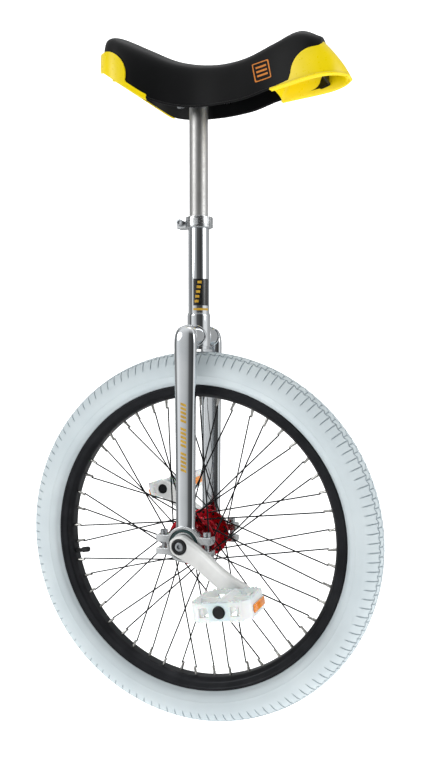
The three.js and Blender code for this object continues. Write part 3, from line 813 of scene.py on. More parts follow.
def rim_shape():
    """Double wall rim with hooked flanges, a stepped side and a flat spoke bed."""
    half = [
        (RIM_RADIUS, 12.7, 0.5),
        (RIM_RADIUS, RIM_HALF_WIDTH, 0.9),
        (RIM_RADIUS - 3.4, RIM_HALF_WIDTH, 0.4),
        (RIM_RADIUS - 4.0, RIM_HALF_WIDTH - 0.5, 0.3),
        (RIM_RADIUS - 11.4, RIM_HALF_WIDTH - 0.4, 1.6),
        (RIM_INNER_RADIUS + 0.9, 8.8, 1.6),
        (RIM_INNER_RADIUS, 6.0, 0.8),
    ]
    outside = half + [(r, -y, f) for r, y, f in half[::-1]]
    top_half = [(203.0, 12.7, 0.5), (202.6, 8.0, 0.5), (199.5, 6.0, 0.5)]
    top = [(r, -y, f) for r, y, f in top_half] + top_half[::-1]
    return spin(rounded(outside + top, 0.5, 3), 240, closed=True)


def spoke_ends(hole):
    """Angles of a spoke's nipple and of its flange hole, its side, and whether it leaves outside."""
    side = 1 if hole % 2 else -1
    rim_angle = FIRST_SPOKE_ANGLE + 360 / SPOKES * hole
    outside = hole % 4 < 2
    hub_angle = rim_angle + (-SPOKE_LEAN if outside else SPOKE_LEAN)
    return side, rim_angle, hub_angle, outside


def spoke_shape(hole, radius):
    """One spoke: domed head, bend through the flange, and a straight run to its nipple."""
    side, rim_angle, hub_angle, outside = spoke_ends(hole)
    face = FLANGE_THICKNESS / 2
    way = 1 if outside else -1
    leave = side * (FLANGE_OFFSET + way * (face + radius))
    back = side * (FLANGE_OFFSET - way * (face + 0.2))
    corner = on_wheel(SPOKE_CIRCLE, hub_angle, leave)
    far = on_wheel(NIPPLE_TIP - 8, rim_angle, side * 3.0)
    run = (far - corner).normalized()
    start = Vector((corner.x, back, corner.z))
    into = (corner - start).normalized()
    bend_start = corner - into * 1.6
    bend_end = corner + run * 2.6
    bend = [
        bend_start * (1 - t) ** 2 + corner * 2 * t * (1 - t) + bend_end * t * t
        for t in (0, 0.2, 0.4, 0.6, 0.8, 1)
    ]
    shaft = rod([start, *bend, (bend_end + far) / 2, far], radius, 8)
    dome = spin(rounded([(0, -0.2), (2.0, -0.2, 0.2), (2.0, 0.5, 0.5), (0, 1.1)], 0.3, 3, closed=False), 14)
    if side * way > 0:
        dome.transform(Matrix.Rotation(math.pi, 4, "X"))
    return joined(shaft, moved(dome, start))


def nipple_shape(hole):
    """A nipple from the rim bed down over the spoke's thread."""
    side, rim_angle, hub_angle, outside = spoke_ends(hole)
    face = FLANGE_THICKNESS / 2
    way = 1 if outside else -1
    corner = on_wheel(SPOKE_CIRCLE, hub_angle, side * (FLANGE_OFFSET + way * (face + 1.0)))
    seat = on_wheel(RIM_INNER_RADIUS + 1.5, rim_angle, side * 3.0)
    run = (seat - corner).normalized()
    profile = [
        (0, 0), (1.25, 0, 0.2), (1.7, 1.2, 0.3), (1.75, 7.2, 0.1), (2.05, 7.6, 0.2), (2.1, 13.5, 0),
        (0, 13.5)
    ]
    made = spin(rounded(profile, 0.2, 2, closed=False), 12)
    made.transform(
        Matrix.Translation(seat - run * 13.5)
        @ Vector((0, 1, 0)).rotation_difference(run).to_matrix().to_4x4()
    )
    return made


def hole_rim_shape(hole):
    """The dark countersink round a nipple."""
    side, rim_angle, _, _ = spoke_ends(hole)
    profile = rounded([(2.15, -0.3), (3.1, -0.3), (3.0, 0.25), (2.3, 0.25)], 0.15, 2)
    made = spin(profile, 16, closed=True)
    aim = on_wheel(1, rim_angle, 0)
    turn = Vector((0, -1, 0)).rotation_difference(aim).to_matrix().to_4x4()
    made.transform(Matrix.Translation(on_wheel(RIM_INNER_RADIUS + 0.1, rim_angle, side * 3.0)) @ turn)
    return made


def along_valve(shape):
    """Turns a shape made about Y so that it lies along the wheel radius at the valve."""
    shape.transform(
        Matrix.Rotation(math.radians(-VALVE_ANGLE), 4, "Y") @ Matrix.Rotation(-math.pi / 2, 4, "Z")
    )
    return shape


def valve_stem_shape():
    threads = []
    height = 176.4
    while height < 191.5:
        threads += [(2.75, height), (3.05, height + 0.35), (2.75, height + 0.7)]
        height += 0.8
    profile = [(0, 176.2), (2.4, 176.2), *threads, (3.3, 192.0), (3.9, 192.4), (3.9, 194.2), (0, 194.2)]
    return along_valve(spin(profile, 28))


def valve_cap_shape():
    profile = [(0, 172.5), (3.0, 172.5, 0.8), (3.95, 174.5, 0.4), (3.95, 183.6, 0.3), (3.3, 184, 0), (0, 184)]
    made = spin(rounded(profile, 0.4, 4, closed=False), 72)
    for vert in made.verts:
        turn = math.atan2(vert.co.z, vert.co.x)
        if math.hypot(vert.co.x, vert.co.z) > 3.85:
            swell = 1 + 0.035 * (math.cos(18 * turn) - 1)
            vert.co.x *= swell
            vert.co.z *= swell
    return along_valve(made)


def hub_shape():
    """Hub shell: sleeves, two flanges with relief holes, and a waisted barrel."""
    flange_in = FLANGE_OFFSET - FLANGE_THICKNESS / 2
    flange_out = FLANGE_OFFSET + FLANGE_THICKNESS / 2
    half = [
        (8.9, 43.6, 0.3),
        (12.0, 43.6, 0.6),
        (12.4, 38.0, 0.5),
        (14.6, 36.4, 0.8),
        (14.9, 31.5, 1.0),
        (18.2, flange_out + 0.3, 1.4),
        (23.5, flange_out, 0.4),
        (24.2, flange_out - 0.5, 0.4),
        (25.0, flange_out, 0.4),
        (FLANGE_RADIUS, flange_out, 0.9),
        (FLANGE_RADIUS, flange_in, 0.9),
        (21.0, flange_in - 0.2, 2.5),
        (17.0, flange_in - 3.5, 2.5),
        (16.2, 8.0, 2.0),
    ]
    section = half + [(r, -y, f) for r, y, f in half[::-1]]
    body = spin(rounded(section, 0.6, 4), 96, closed=True)
    drills = []
    for k in range(12):
        turn = 30 * k + 7.5
        drill = spin([(0, -40), (2.1, -40), (2.1, 40), (0, 40)], 16)
        drills.append(moved(drill, on_wheel(21.4, turn, 0)))
    return carved(body, joined(*drills))


def ball_cage_shape():
    balls = []
    for k in range(9):
        ball = bmesh.new()
        bmesh.ops.create_uvsphere(ball, u_segments=16, v_segments=10, radius=1.85)
        balls.append(moved(ball, on_wheel(14.2, 40 * k, 50)))
    cage = [(13.5, 48.2), (14.9, 48.2), (14.9, 51.8), (13.5, 51.8)]
    return joined(spin(rounded(cage, 0.3, 3), 48, closed=True), *balls)


HALF_TURN_Z = Matrix.Rotation(math.pi, 4, "Z")
SIDES = (("left", Matrix.Identity(4)), ("right", HALF_TURN_Z))


def ring_shape(inner, outer, start, end, edge=0.5, steps=64):
    return spin(
        rounded([(inner, start), (outer, start), (outer, end), (inner, end)], edge, 3), steps, closed=True
    )


# ---------------------------------------------------------------- bearing holders
HOUSING_RADIUS = 24.0
HOUSING_BORE = 20.3
EAR_REACH = 39.0
EAR_BOLT = 30.5
BEARING_OFFSET = 50.0
UPPER_EAR = (1.4, 11.3)
LOWER_EAR = (-15.0, -6.4)


def holder_shape(up):
    """Half of a bearing holder, with an ear fore and aft. Up is 1 for the upper half and -1 for the cap."""
    gap = 0.15
    low, high = (UPPER_EAR if up > 0 else (-LOWER_EAR[1], -LOWER_EAR[0]))
    meet = math.degrees(math.asin(high / HOUSING_RADIUS))
    shoulder = math.sqrt(HOUSING_RADIUS**2 - low**2)
    outer = arc((0, 0), HOUSING_RADIUS, meet + 6, 174 - meet, 32)
    corners = [(HOUSING_BORE, gap, 0.4), (23.9, gap, 0.4)]
    corners += [
        (shoulder, low, 0.8), (EAR_REACH, low, 1.4), (EAR_REACH, high, 2.2),
        (HOUSING_RADIUS * 0.93, high, 2.5)
    ]
    corners += [(x, y, 0) for x, y in outer]
    corners += [
        (-HOUSING_RADIUS * 0.93, high, 2.5), (-EAR_REACH, high, 2.2), (-EAR_REACH, low, 1.4),
        (-shoulder, low, 0.8)
    ]
    corners += [(-23.9, gap, 0.4), (-HOUSING_BORE, gap, 0.4)]
    corners += [(x, y, 0) for x, y in arc((0, 0), HOUSING_BORE, 178, 2, 40)]
    outline = rounded(corners, 0.5, 4)
    made = slab([outline], 15.8, 0.9, axis="Y")
    made.transform(Matrix.Translation((0, BEARING_OFFSET, 0)) @ Matrix.Diagonal((1, 1, up, 1)))
    return made


def ear_bolt_shape():
    made = screw(5.0, 5.4, 3.0, UPPER_EAR[1] - LOWER_EAR[0] - 0.3, 2.5, knurls=24)
    return moved(made, (0, 0, UPPER_EAR[1] + 0.3))


# ---------------------------------------------------------------- cranks
CRANK_LENGTH = 102.0
CRANK_DROP = 28.2
CRANK_BOSS_RADIUS = 14.3
CRANK_TIP_RADIUS = 12.3
CRANK_INNER_FACE = 60.7
CRANK_THICKNESS = 11.8
CRANK_FLARE = 20.0
BOLT_SEAT = 70.2


def crank_flare(x):
    return CRANK_FLARE * smooth_step(x, CRANK_BOSS_RADIUS, CRANK_LENGTH - CRANK_TIP_RADIUS)


def crank_width(x):
    """Half the arm's depth at a distance from the axle."""
    if x < 0:
        return math.sqrt(max(0.0, CRANK_BOSS_RADIUS**2 - x * x))
    if x > CRANK_LENGTH:
        return math.sqrt(max(0.0, CRANK_TIP_RADIUS**2 - (x - CRANK_LENGTH) ** 2))
    waist = 1.6 * math.sin(math.pi * x / CRANK_LENGTH)
    return lerp(CRANK_BOSS_RADIUS, CRANK_TIP_RADIUS, x / CRANK_LENGTH) - waist


def crank_shape():
    """A forged arm, drawn along +X with its outer face toward +Y, bevelled along its outer edges."""
    xs = [-CRANK_BOSS_RADIUS * math.cos(math.radians(9 * k)) for k in range(10)]
    xs += [CRANK_LENGTH * k / 36 for k in range(1, 36)]
    xs += [CRANK_LENGTH + CRANK_TIP_RADIUS * math.sin(math.radians(9 * k)) for k in range(11)]
    rings = []
    for x in xs:
        wide = max(0.02, crank_width(x))
        inner = CRANK_INNER_FACE + crank_flare(x)
        outer = inner + CRANK_THICKNESS
        slope = min(3.4, wide * 0.5)
        lean = min(2.2, wide * 0.4)
        corners = [
            (-wide, inner, 0.8),
            (wide, inner, 0.8),
            (wide, outer - lean, 0.7),
            (wide - slope, outer, 0.8),
            (-(wide - slope), outer, 0.8),
            (-wide, outer - lean, 0.7),
        ]
        rings.append([Vector((x, y, z)) for z, y in rounded(corners, 0.8, 3)])
    arm = skin(rings)
    square = 6.5
    taper = box_shape((-square, CRANK_INNER_FACE - 3, -square), (square, BOLT_SEAT + 1, square))
    recess = spin([(0, BOLT_SEAT - 0.2), (10.5, BOLT_SEAT - 0.2), (10.5, 71.6), (11.4, 73.2), (0, 73.2)], 64)
    eye = moved(spin([(0, 70), (7.3, 70), (7.3, 92.0), (8.3, 93.4), (0, 93.4)], 48), (CRANK_LENGTH, 0, 0))
    made = carved(arm, taper, recess, eye)
    return made


def crank_bolt_shape():
    head = BOLT_SEAT + 2.4
    profile = [(0, 55), (4, 55, 0.4), (4, BOLT_SEAT, 0), (5.7, BOLT_SEAT, 0.1), (5.7, head, 0.6), (0, head)]
    body = spin(rounded(profile, 0.3, 4, closed=False), 48)
    return carved(body, spin([(0, 69.5), (3.3, 69.5), (3.3, head + 1), (0, head + 1)], 6))


def dust_ring_shape():
    profile = [
        (6.3, BOLT_SEAT), (10.1, BOLT_SEAT), (10.1, BOLT_SEAT + 1.9), (8.6, BOLT_SEAT + 2.5),
        (6.3, BOLT_SEAT + 2.1)
    ]
    return spin(rounded(profile, 0.4, 3), 64, closed=True)


def spindle_shape():
    """Pedal spindle: threaded end, wrench flats on the collar, and the shaft inside the pedal."""
    shoulder = CRANK_INNER_FACE + CRANK_THICKNESS + CRANK_FLARE + 0.4
    profile = [
        (0, shoulder - 11.8),
        (6.4, shoulder - 11.8, 0.6),
        (6.9, shoulder - 11, 0.2),
        (6.9, shoulder, 0),
        (8.1, shoulder, 0.5),
        (8.1, 98.6, 0.3),
        (7.0, 99.4, 0.3),
        (7.0, 102.6, 0.3),
        (4.9, 102.6, 0.3),
        (4.9, 160.8, 0.3),
        (0, 160.8),
    ]
    body = spin(rounded(profile, 0.3, 3, closed=False), 48)
    flats = [
        box_shape((-12, 94.2, s * 7.3 if s > 0 else -12), (12, 98.2, 12 if s > 0 else -7.3))
        for s in (1, -1)
    ]
    return moved(carved(body, *flats), (CRANK_LENGTH, 0, 0))


# ---------------------------------------------------------------- pedals
PEDAL_IN = 103.0
PEDAL_OUT = 169.0
PEDAL_HALF_LENGTH = 37.0
PEDAL_HALF_THICKNESS = 12.5
PEDAL_TILT = {"right": 8.4, "left": 16.0}


def pedal_outline(inset):
    """The pedal's eight-cornered outline seen from above, pulled in by inset."""
    middle = (PEDAL_IN + PEDAL_OUT) / 2
    half = (PEDAL_OUT - PEDAL_IN) / 2 - inset
    length = PEDAL_HALF_LENGTH - inset
    corner = 9.0 - inset * 0.4
    points = [
        (length - corner, half), (length, half - corner), (length, -half + corner), (length - corner, -half)
    ]
    return [(x, y + middle) for x, y in points] + [(-x, y + middle) for x, y in points[::-1]]


def pedal_shape():
    """A moulded pedal: outer frame, barrel, cross ribs and rows of grip teeth."""
    middle = (PEDAL_IN + PEDAL_OUT) / 2
    body_half = PEDAL_HALF_THICKNESS - 1.6
    frame_part = slab(
        [rounded(pedal_outline(0.0), 3.0, 5), rounded(pedal_outline(4.6), 2.0, 4)], 2 * body_half, 1.0
    )
    windows = []
    for way in (-1, 1):
        low, high = sorted((way * 13.8, way * 25.0))
        windows.append(box_shape((low, PEDAL_IN - 5, -5.6), (high, PEDAL_OUT + 5, 5.6), 1.2))
    parts = [carved(frame_part, joined(*windows))]
    barrel = [
        (7.9, PEDAL_IN + 0.2), (11.2, PEDAL_IN + 0.2), (11.6, middle), (11.2, PEDAL_OUT - 0.2),
        (7.9, PEDAL_OUT - 0.2)
    ]
    parts.append(spin(rounded(barrel, 0.8, 3), 48, closed=True))
    cheek = slab(
        [rounded([(-13, -body_half), (13, -body_half), (13, body_half), (-13, body_half)], 2.5, 4)], 5.6,
        0.8, axis="Y"
    )
    for y in (PEDAL_IN + 3.0, PEDAL_OUT - 3.0):
        copy = cheek.copy()
        parts.append(moved(carved(copy, spin([(0, -9), (7.9, -9), (7.9, 9), (0, 9)], 32)), (0, y, 0)))
    cheek.free()
    for way in (-1, 1):
        low, high = sorted((way * 9.5, way * 33.5))
        parts.append(
            box_shape((low, middle - 2.3, -body_half + 1.2), (high, middle + 2.3, body_half - 1.2), 0.8)
        )
        web_low, web_high = sorted((way * 20.0, way * 23.0))
        parts.append(box_shape((web_low, PEDAL_IN + 3, -5.0), (web_high, PEDAL_OUT - 3, 5.0), 0.7))
        for k in range(9):
            y = lerp(PEDAL_IN + 11, PEDAL_OUT - 11, k / 8)
            for up in (-1, 1):
                inner_z, outer_z = sorted((up * (body_half - 1.0), up * PEDAL_HALF_THICKNESS))
                low, high = sorted((way * 32.9, way * 36.5))
                parts.append(box_shape((low, y - 1.5, inner_z), (high, y + 1.5, outer_z), 0.55))
        for k in range(4):
            x = way * (13.5 + 4.6 * k)
            for y in (PEDAL_IN + 2.3, PEDAL_OUT - 2.3):
                for up in (-1, 1):
                    inner_z, outer_z = sorted((up * (body_half - 1.0), up * (PEDAL_HALF_THICKNESS - 0.2)))
                    parts.append(box_shape((x - 1.4, y - 1.8, inner_z), (x + 1.4, y + 1.8, outer_z), 0.5))
    return joined(*parts)


def reflector_shape(way):
    """An amber lens on the front or rear face of a pedal."""
    outline = rounded([(113, -6.7), (153, -6.7), (153, 2.7), (113, 2.7)], 1.2, 4)
    lens = slab([outline], 1.6, 0.45, axis="X")
    return moved(lens, (way * (PEDAL_HALF_LENGTH + 1.1), 0, 0))


def end_cap_shape():
    profile = [
        (0, 163), (7.6, 163), (7.6, 169.0, 0.2), (7.6, 170.2, 0.5), (5.8, 170.9, 0.4), (5.2, 170.4, 0.3),
        (0, 170.4)
    ]
    return spin(rounded(profile, 0.3, 3, closed=False), 48)


# ---------------------------------------------------------------- fork
CROWN_HEIGHT = 275.0
CROWN_RADIUS = 13.0
LEG_OFFSET = 48.5
LEG_HALF = 8.0
LEG_SQUARENESS = 0.74


def leg_wall(x, depth):
    """How far the leg's face stands from its middle at a distance fore or aft."""
    power = 2 / LEG_SQUARENESS
    return LEG_HALF * max(0.0, 1 - abs(x / depth) ** power) ** (1 / power)


def leg_section(height, depth, thickness, offset, steps=64):
    points = []
    for k in range(steps):
        turn = 2 * math.pi * k / steps
        c, s = math.cos(turn), math.sin(turn)
        points.append(Vector((
            depth * math.copysign(abs(c) ** LEG_SQUARENESS, c),
            offset + thickness * math.copysign(abs(s) ** LEG_SQUARENESS, s),
            height,
        )))
    return points


def leg_shape():
    """An oval leg that sits on its bearing holder and closes over the end of the crown."""
    depth_at = curve_through(
        [
            (8, 12.9), (130, 13.6), (255, 15.2), (266, 15.2), (273, 14.7), (279, 13.3), (284, 10.6),
            (287, 6.4), (288.2, 1.0)
        ]
    )
    thin_at = curve_through(
        [(8, 8), (130, 8), (255, 8), (268, 7.9), (276, 7.2), (282, 5.9), (286, 3.8), (288.2, 0.6)]
    )
    shift_at = curve_through([(8, 0), (255, 0), (270, 0.1), (278, 0.7), (284, 1.6), (288.2, 2.6)])
    rings = []
    foot = leg_section(0, depth_at(20), thin_at(20), LEG_OFFSET)
    seat_radius = HOUSING_RADIUS - 0.6
    rings.append([Vector((p.x, p.y, math.sqrt(seat_radius**2 - p.x**2))) for p in foot])
    for k, flare in ((0, 0.9), (1, 0.35), (2, 0.08)):
        ring = leg_section(0, depth_at(20) + flare, thin_at(20) + flare * 0.5, LEG_OFFSET)
        lift = 1.1 + 1.5 * k
        rings.append(
            [
                Vector((p.x, p.y, math.sqrt(seat_radius**2 - min(seat_radius - 1, abs(p.x)) ** 2) + lift))
                for p in ring
            ]
        )
    heights = [33 + 6 * k for k in range(38)] + [
        258, 262, 266, 269, 272, 275, 277.5, 280, 282, 284, 285.5, 286.7, 287.6, 288.1
    ]
    for height in heights:
        rings.append(leg_section(height, depth_at(height), thin_at(height), LEG_OFFSET - shift_at(height)))
    return skin(rings)


COLLAR_RADIUS = 15.7


def crown_shape():
    """Crown tube through a collar on the seat tube, with the brazed fillets at each joint."""
    end = LEG_OFFSET - 3.0
    tube = spin([(0, -end), (CROWN_RADIUS, -end), (CROWN_RADIUS, end), (0, end)], 96)
    low, high = CROWN_HEIGHT - 14, CROWN_HEIGHT + 31
    collar = [
        (SEAT_TUBE_RADIUS + 0.1, low),
        (COLLAR_RADIUS, low, 0.5),
        (COLLAR_RADIUS, high - 3.0, 0.7),
        (SEAT_TUBE_RADIUS + 0.5, high, 0.6),
        (SEAT_TUBE_RADIUS + 0.1, high, 0),
    ]
    collar = upright(spin(rounded(collar, 1.0, 4), 96, closed=True))
    parts = [collar]
    half_tubes = [carved(tube, upright(spin([(0, -90), (15.6, -90), (15.6, 90), (0, 90)], 64)))]
    parts += [moved(t, (0, 0, CROWN_HEIGHT)) for t in half_tubes]
    for side in (-1, 1):
        braze = []
        weld = []
        for k in range(64):
            turn = 2 * math.pi * k / 64
            x = CROWN_RADIUS * math.cos(turn)
            z = CROWN_HEIGHT + CROWN_RADIUS * math.sin(turn)
            braze.append(
                (
                    x * 1.02, side * (math.sqrt(COLLAR_RADIUS**2 - x * x) - 0.1),
                    CROWN_HEIGHT + (z - CROWN_HEIGHT) * 1.02
                )
            )
            wall = leg_wall(x, 15.2)
            weld.append(
                (x * 1.01, side * (LEG_OFFSET - wall - 0.1), CROWN_HEIGHT + (z - CROWN_HEIGHT) * 1.01)
            )
        parts.append(rod(braze, 1.7, 10, loop=True))
        parts.append(rod(weld, 1.3, 10, loop=True))
    return joined(*parts)


def seat_tube_shape():
    low, high = height_range("seat_tube")
    profile = [(SEAT_TUBE_RADIUS, low), (SEAT_TUBE_RADIUS, high), (13.0, high), (13.0, low)]
    tube = upright(spin(rounded(profile, 0.5, 3), 128, closed=True))
    slit = box_shape((-20, -1.25, high - 40), (0, 1.25, high + 1))
    end = moved(spin([(0, -20), (1.25, -20), (1.25, 20), (0, 20)], 24), (0, 0, 0))
    end.transform(Matrix.Rotation(math.pi / 2, 4, "Z"))
    drill = moved(end, (-10, 0, high - 40))
    return carved(carved(tube, slit), drill)


def seat_post_shape():
    low, high = height_range("seat_post")
    profile = [(POST_RADIUS, low), (POST_RADIUS, high), (POST_RADIUS - 1.6, high), (POST_RADIUS - 1.6, low)]
    return upright(spin(rounded(profile, 0.5, 3), 128, closed=True))


# ---------------------------------------------------------------- seat clamp
CLAMP_BOLT_X = -23.5


def clamp_shape():
    """A slit band with two lugs behind, a pad in front and a pressed panel on each flank."""
    low, high = height_range("seat_clamp")
    outer, bore = SEAT_TUBE_RADIUS + 3.4, SEAT_TUBE_RADIUS + 0.3
    lug = math.degrees(math.asin(8 / outer))
    pad = math.degrees(math.asin(6 / outer))
    corners = [(-bore, 1.4, 0.3), (-29, 1.4, 0.6), (-29, 8, 1.6), (-math.sqrt(outer**2 - 64), 8, 1.0)]
    corners += [(x, y, 0) for x, y in arc((0, 0), outer, 176 - lug, pad + 4, 40)]
    corners += [
        (math.sqrt(outer**2 - 36), 6, 0.6), (18.7, 6, 0.9), (18.7, -6, 0.9),
        (math.sqrt(outer**2 - 36), -6, 0.6)
    ]
    corners += [(x, y, 0) for x, y in arc((0, 0), outer, -pad - 4, lug - 176, 40)]
    corners += [(-math.sqrt(outer**2 - 64), -8, 1.0), (-29, -8, 1.6), (-29, -1.4, 0.6), (-bore, -1.4, 0.3)]
    corners += [(x, y, 0) for x, y in arc((0, 0), bore, -173, 173, 64)]
    made = slab([rounded(corners, 0.5, 4)], high - low, 0.7)
    made = moved(made, (0, 0, (low + high) / 2))
    panels = []
    for side in (-1, 1):
        outline = rounded([(-16, low + 3.4), (6.5, low + 3.4), (6.5, high - 3.4), (-16, high - 3.4)], 1.6, 4)
        panel = slab([outline], 10, 0.2, axis="Y")
        panels.append(moved(panel, (0, side * 21.9, 0)))
    return carved(made, *panels)


def clamp_bolt_shape():
    low, high = height_range("seat_clamp")
    made = screw(4.75, 5.2, 3.0, 16.0, 2.6, knurls=24)
    made.transform(
        Matrix.Translation((CLAMP_BOLT_X, -8.3, (low + high) / 2)) @ Matrix.Rotation(math.pi / 2, 4, "X")
    )
    return made


# ---------------------------------------------------------------- saddle
BRACKET_HEIGHT = 596.0
SADDLE_BOLTS = [(-33, -17), (-33, 17), (34, -17), (34, 17)]

SADDLE_REAR = -132.0
SADDLE_FRONT = 172.0
saddle_top = curve_through([
    (-132, 668), (-125, 678.3), (-115, 682.3), (-98, 679.6), (-60, 662), (-20, 644), (30, 635), (70, 639),
    (110, 654),
    (145, 665), (172, 655),
])
saddle_edge = curve_through([
    (-132, 641), (-116, 630), (-80, 605), (-50, 587), (0, 577), (66, 580), (108, 591), (150, 599), (172, 603),
])
saddle_half_width = curve_through([
    (-132, 17), (-127, 31), (-118, 45), (-106, 54), (-92, 57), (-72, 54), (-40, 41), (0, 31), (40, 29),
    (70, 27), (105, 25.5), (140, 29.5), (160, 30), (172, 24.5),
])
nose_half_width = curve_through([
    (100, 28.5), (125, 31.5), (150, 35.5), (166, 36.5), (178, 35), (190, 29.5), (199, 20.5), (206, 9),
])
nose_edge = curve_through([(100, 587), (111, 589), (155, 596), (185, 600), (206, 602)])
nose_crown = curve_through([
    (100, 653), (125, 656), (150, 660), (165, 656), (172, 651), (179, 643), (187, 634),
    (199, 618), (206, 606),
])

# Share of the half width and share of the rise, from a section's edge to its middle.
across_at = curve_through(
    [(0, 1.0), (0.15, 0.99), (0.3, 0.965), (0.45, 0.92), (0.6, 0.82), (0.75, 0.6), (0.88, 0.3), (1, 0.0)]
)
rise_at = curve_through(
    [(0, 0.0), (0.15, 0.24), (0.3, 0.5), (0.45, 0.72), (0.6, 0.865), (0.75, 0.945), (0.88, 0.985), (1, 1.0)]
)
DOME_STEPS = 18


def dome_section(x, half, high, low):
    """A domed section across the saddle, from its right edge over the top to its left edge."""
    shares = [k / DOME_STEPS for k in range(DOME_STEPS + 1)]
    right = [Vector((x, -half * across_at(t), low + (high - low) * rise_at(t))) for t in shares]
    left = [Vector((p.x, -p.y, p.z)) for p in right[-2::-1]]
    return right + left


def hood(stations, half_width, top, edge, grow=0.0, bulge=3.0):
    """A domed skin along the saddle, turned down at both ends to the height of its edge."""
    first, last = stations[0], stations[-1]
    rows = []
    ends = [math.radians(a) for a in (90, 75, 60, 45, 30, 15)]
    for x, way, turns in ((first, -1, ends), (last, 1, ends[::-1])):
        made = []
        for turn in turns:
            half = (half_width(x) + grow) * (1 - 0.16 * (1 - math.cos(turn)))
            low = edge(x)
            high = low + (top(x) + grow - low) * max(0.02, math.cos(turn))
            reach = x + way * (grow + bulge * math.sin(turn))
            made.append(dome_section(reach, half, high, low))
        rows.append(made)
    middle = []
    for x in stations:
        share = (x - first) / (last - first)
        middle.append(
            dome_section(x + lerp(-grow, grow, share), half_width(x) + grow, top(x) + grow, edge(x))
        )
    return rows[0] + middle + rows[1]


def stations_between(start, end, count):
    return [lerp(start, end, k / (count - 1)) for k in range(count)]


def edge_loop(sections):
    """The closed line along the bottom of a hood."""
    right = [section[0] for section in sections]
    left = [section[-1] for section in sections]
    front = [sections[-1][k] for k in range(1, len(sections[-1]) - 1)]
    rear = [sections[0][k] for k in range(1, len(sections[0]) - 1)]
    return right + front + left[::-1] + rear[::-1]


def cover_shape():
    """The saddle's outer skin with a rolled edge."""
    sections = hood(
        stations_between(SADDLE_REAR, SADDLE_FRONT, 90), saddle_half_width, saddle_top, saddle_edge
    )
    wall = thickened(skin(sections, closed_ends=False, around=False), 2.8)
    bead = rod(edge_loop(sections)[::2], 1.5, 10, loop=True)
    return joined(wall, bead)


def foam_shape():
    """The moulded pad under the skin, flat below."""
    rings = []
    for x in stations_between(SADDLE_REAR + 7, SADDLE_FRONT - 6, 60):
        half = saddle_half_width(x) - 3.6
        section = dome_section(x, half, saddle_top(x) - 3.4, saddle_edge(x))
        floor = saddle_top(x) - 22.8
        ring = [Vector((p.x, p.y, max(p.z, floor))) for p in section]
        ring += [Vector((x, half * k / 6, floor)) for k in range(5, -6, -1)]
        rings.append(ring)
    return skin(rings)


def front_region():
    """Side outline of the part of the nose that the front bumper covers."""
    centre, radius = (167.0, 604.0), 30.0
    strip_low, strip_high = -3.0, 4.0
    low = [(x, nose_edge(x) + strip_low) for x in stations_between(108, 206, 24)]
    outline = low + [(235, 580), (235, 670), (177, 670), (177, 638), (173, 635)]
    turn = 90.0
    meet = []
    while turn < 180:
        x = centre[0] + radius * math.cos(math.radians(turn))
        z = centre[1] + radius * math.sin(math.radians(turn))
        if z < nose_edge(x) + strip_high:
            break
        meet.append((x, z))
        turn += 4
    strip = [
        (x, nose_edge(x) + strip_high * (x - 100) / 35) for x in stations_between(meet[-1][0] - 3, 108, 10)
    ]
    return outline + meet + strip


def rear_region():
    """Side outline of the part of the tail that the rear bumper covers."""
    centre, radius = (-116.0, 620.0), 34.0
    low = [(x, saddle_edge(x) - 6) for x in stations_between(-56, -131, 24)]
    outline = low + [(-175, 625), (-175, 656), (-128, 656), (-118, 654)]
    turn = 84.0
    meet = []
    while turn > -60:
        x = centre[0] + radius * math.cos(math.radians(turn))
        z = centre[1] + radius * math.sin(math.radians(turn))
        if z < saddle_edge(x) + 4:
            break
        meet.append((x, z))
        turn -= 4
    strip = [(x, saddle_edge(x) + 4) for x in stations_between(meet[-1][0] + 2, -56, 12)]
    return outline + meet + strip


def grip_shape():
    """The finger hollow under the nose: a ledge below the skirt, then a smooth vault."""
    rises = (
        (1.0, -0.6), (0.93, -1.9), (0.86, -1.2), (0.79, 7.0), (0.72, 18.0), (0.56, 27.0), (0.3, 31.0),
        (0.0, 32.0)
    )
    across = curve_through([(k, rises[k][0]) for k in range(8)])
    upward = curve_through([(k, rises[k][1]) for k in range(8)])
    rings = []
    for x in stations_between(110, 203.5, 40):
        half = nose_half_width(x) - 1.6
        low = nose_edge(x)
        fade = smooth_step(x, 203.5, 184) * smooth_step(x, 106, 124)
        steps = [k * 7 / 28 for k in range(29)]
        right = [
            Vector((x, -half * across(t), low + upward(t) * (fade if upward(t) > 0 else 1))) for t in steps
        ]
        rings.append(right + [Vector((p.x, -p.y, p.z)) for p in right[-2::-1]])
    return thickened(skin(rings, closed_ends=False, around=False), -1.2)


def front_bumper_shape():
    """The nose: a hollow shell with a thick lip that serves as the lifting handle."""
    sections = hood(stations_between(100, 205, 70), nose_half_width, nose_crown, nose_edge, bulge=1.0)
    wall = thickened(skin(sections, closed_ends=False, around=False), 2.6)
    made = carved(wall, slab([front_region()], 180, 0.0, axis="Y"), operation="INTERSECT", folded=True)
    start = next(i for i, section in enumerate(sections) if section[0].x > 109)
    right = [section[0] for section in sections[start:]]
    left = [section[-1] for section in sections[start:]]
    front = [sections[-1][k] for k in range(1, len(sections[-1]) - 1)]
    lip = rod((right + front + left[::-1])[::2], 1.8, 12)
    return joined(made, lip, grip_shape())


def rear_bumper_shape():
    """The tail guard: a shell close over the end of the saddle."""
    sections = hood(
        stations_between(SADDLE_REAR, SADDLE_FRONT, 110), saddle_half_width, saddle_top, saddle_edge,
        grow=3.3
    )
    for section in sections:
        for point, neighbour in ((section[0], section[1]), (section[-1], section[-2])):
            point.z -= 2.0
            point.x = neighbour.x
    wall = thickened(skin(sections, closed_ends=False, around=False), 2.9)
    return carved(wall, slab([rear_region()], 180, 0.0, axis="Y"), operation="INTERSECT", folded=True)


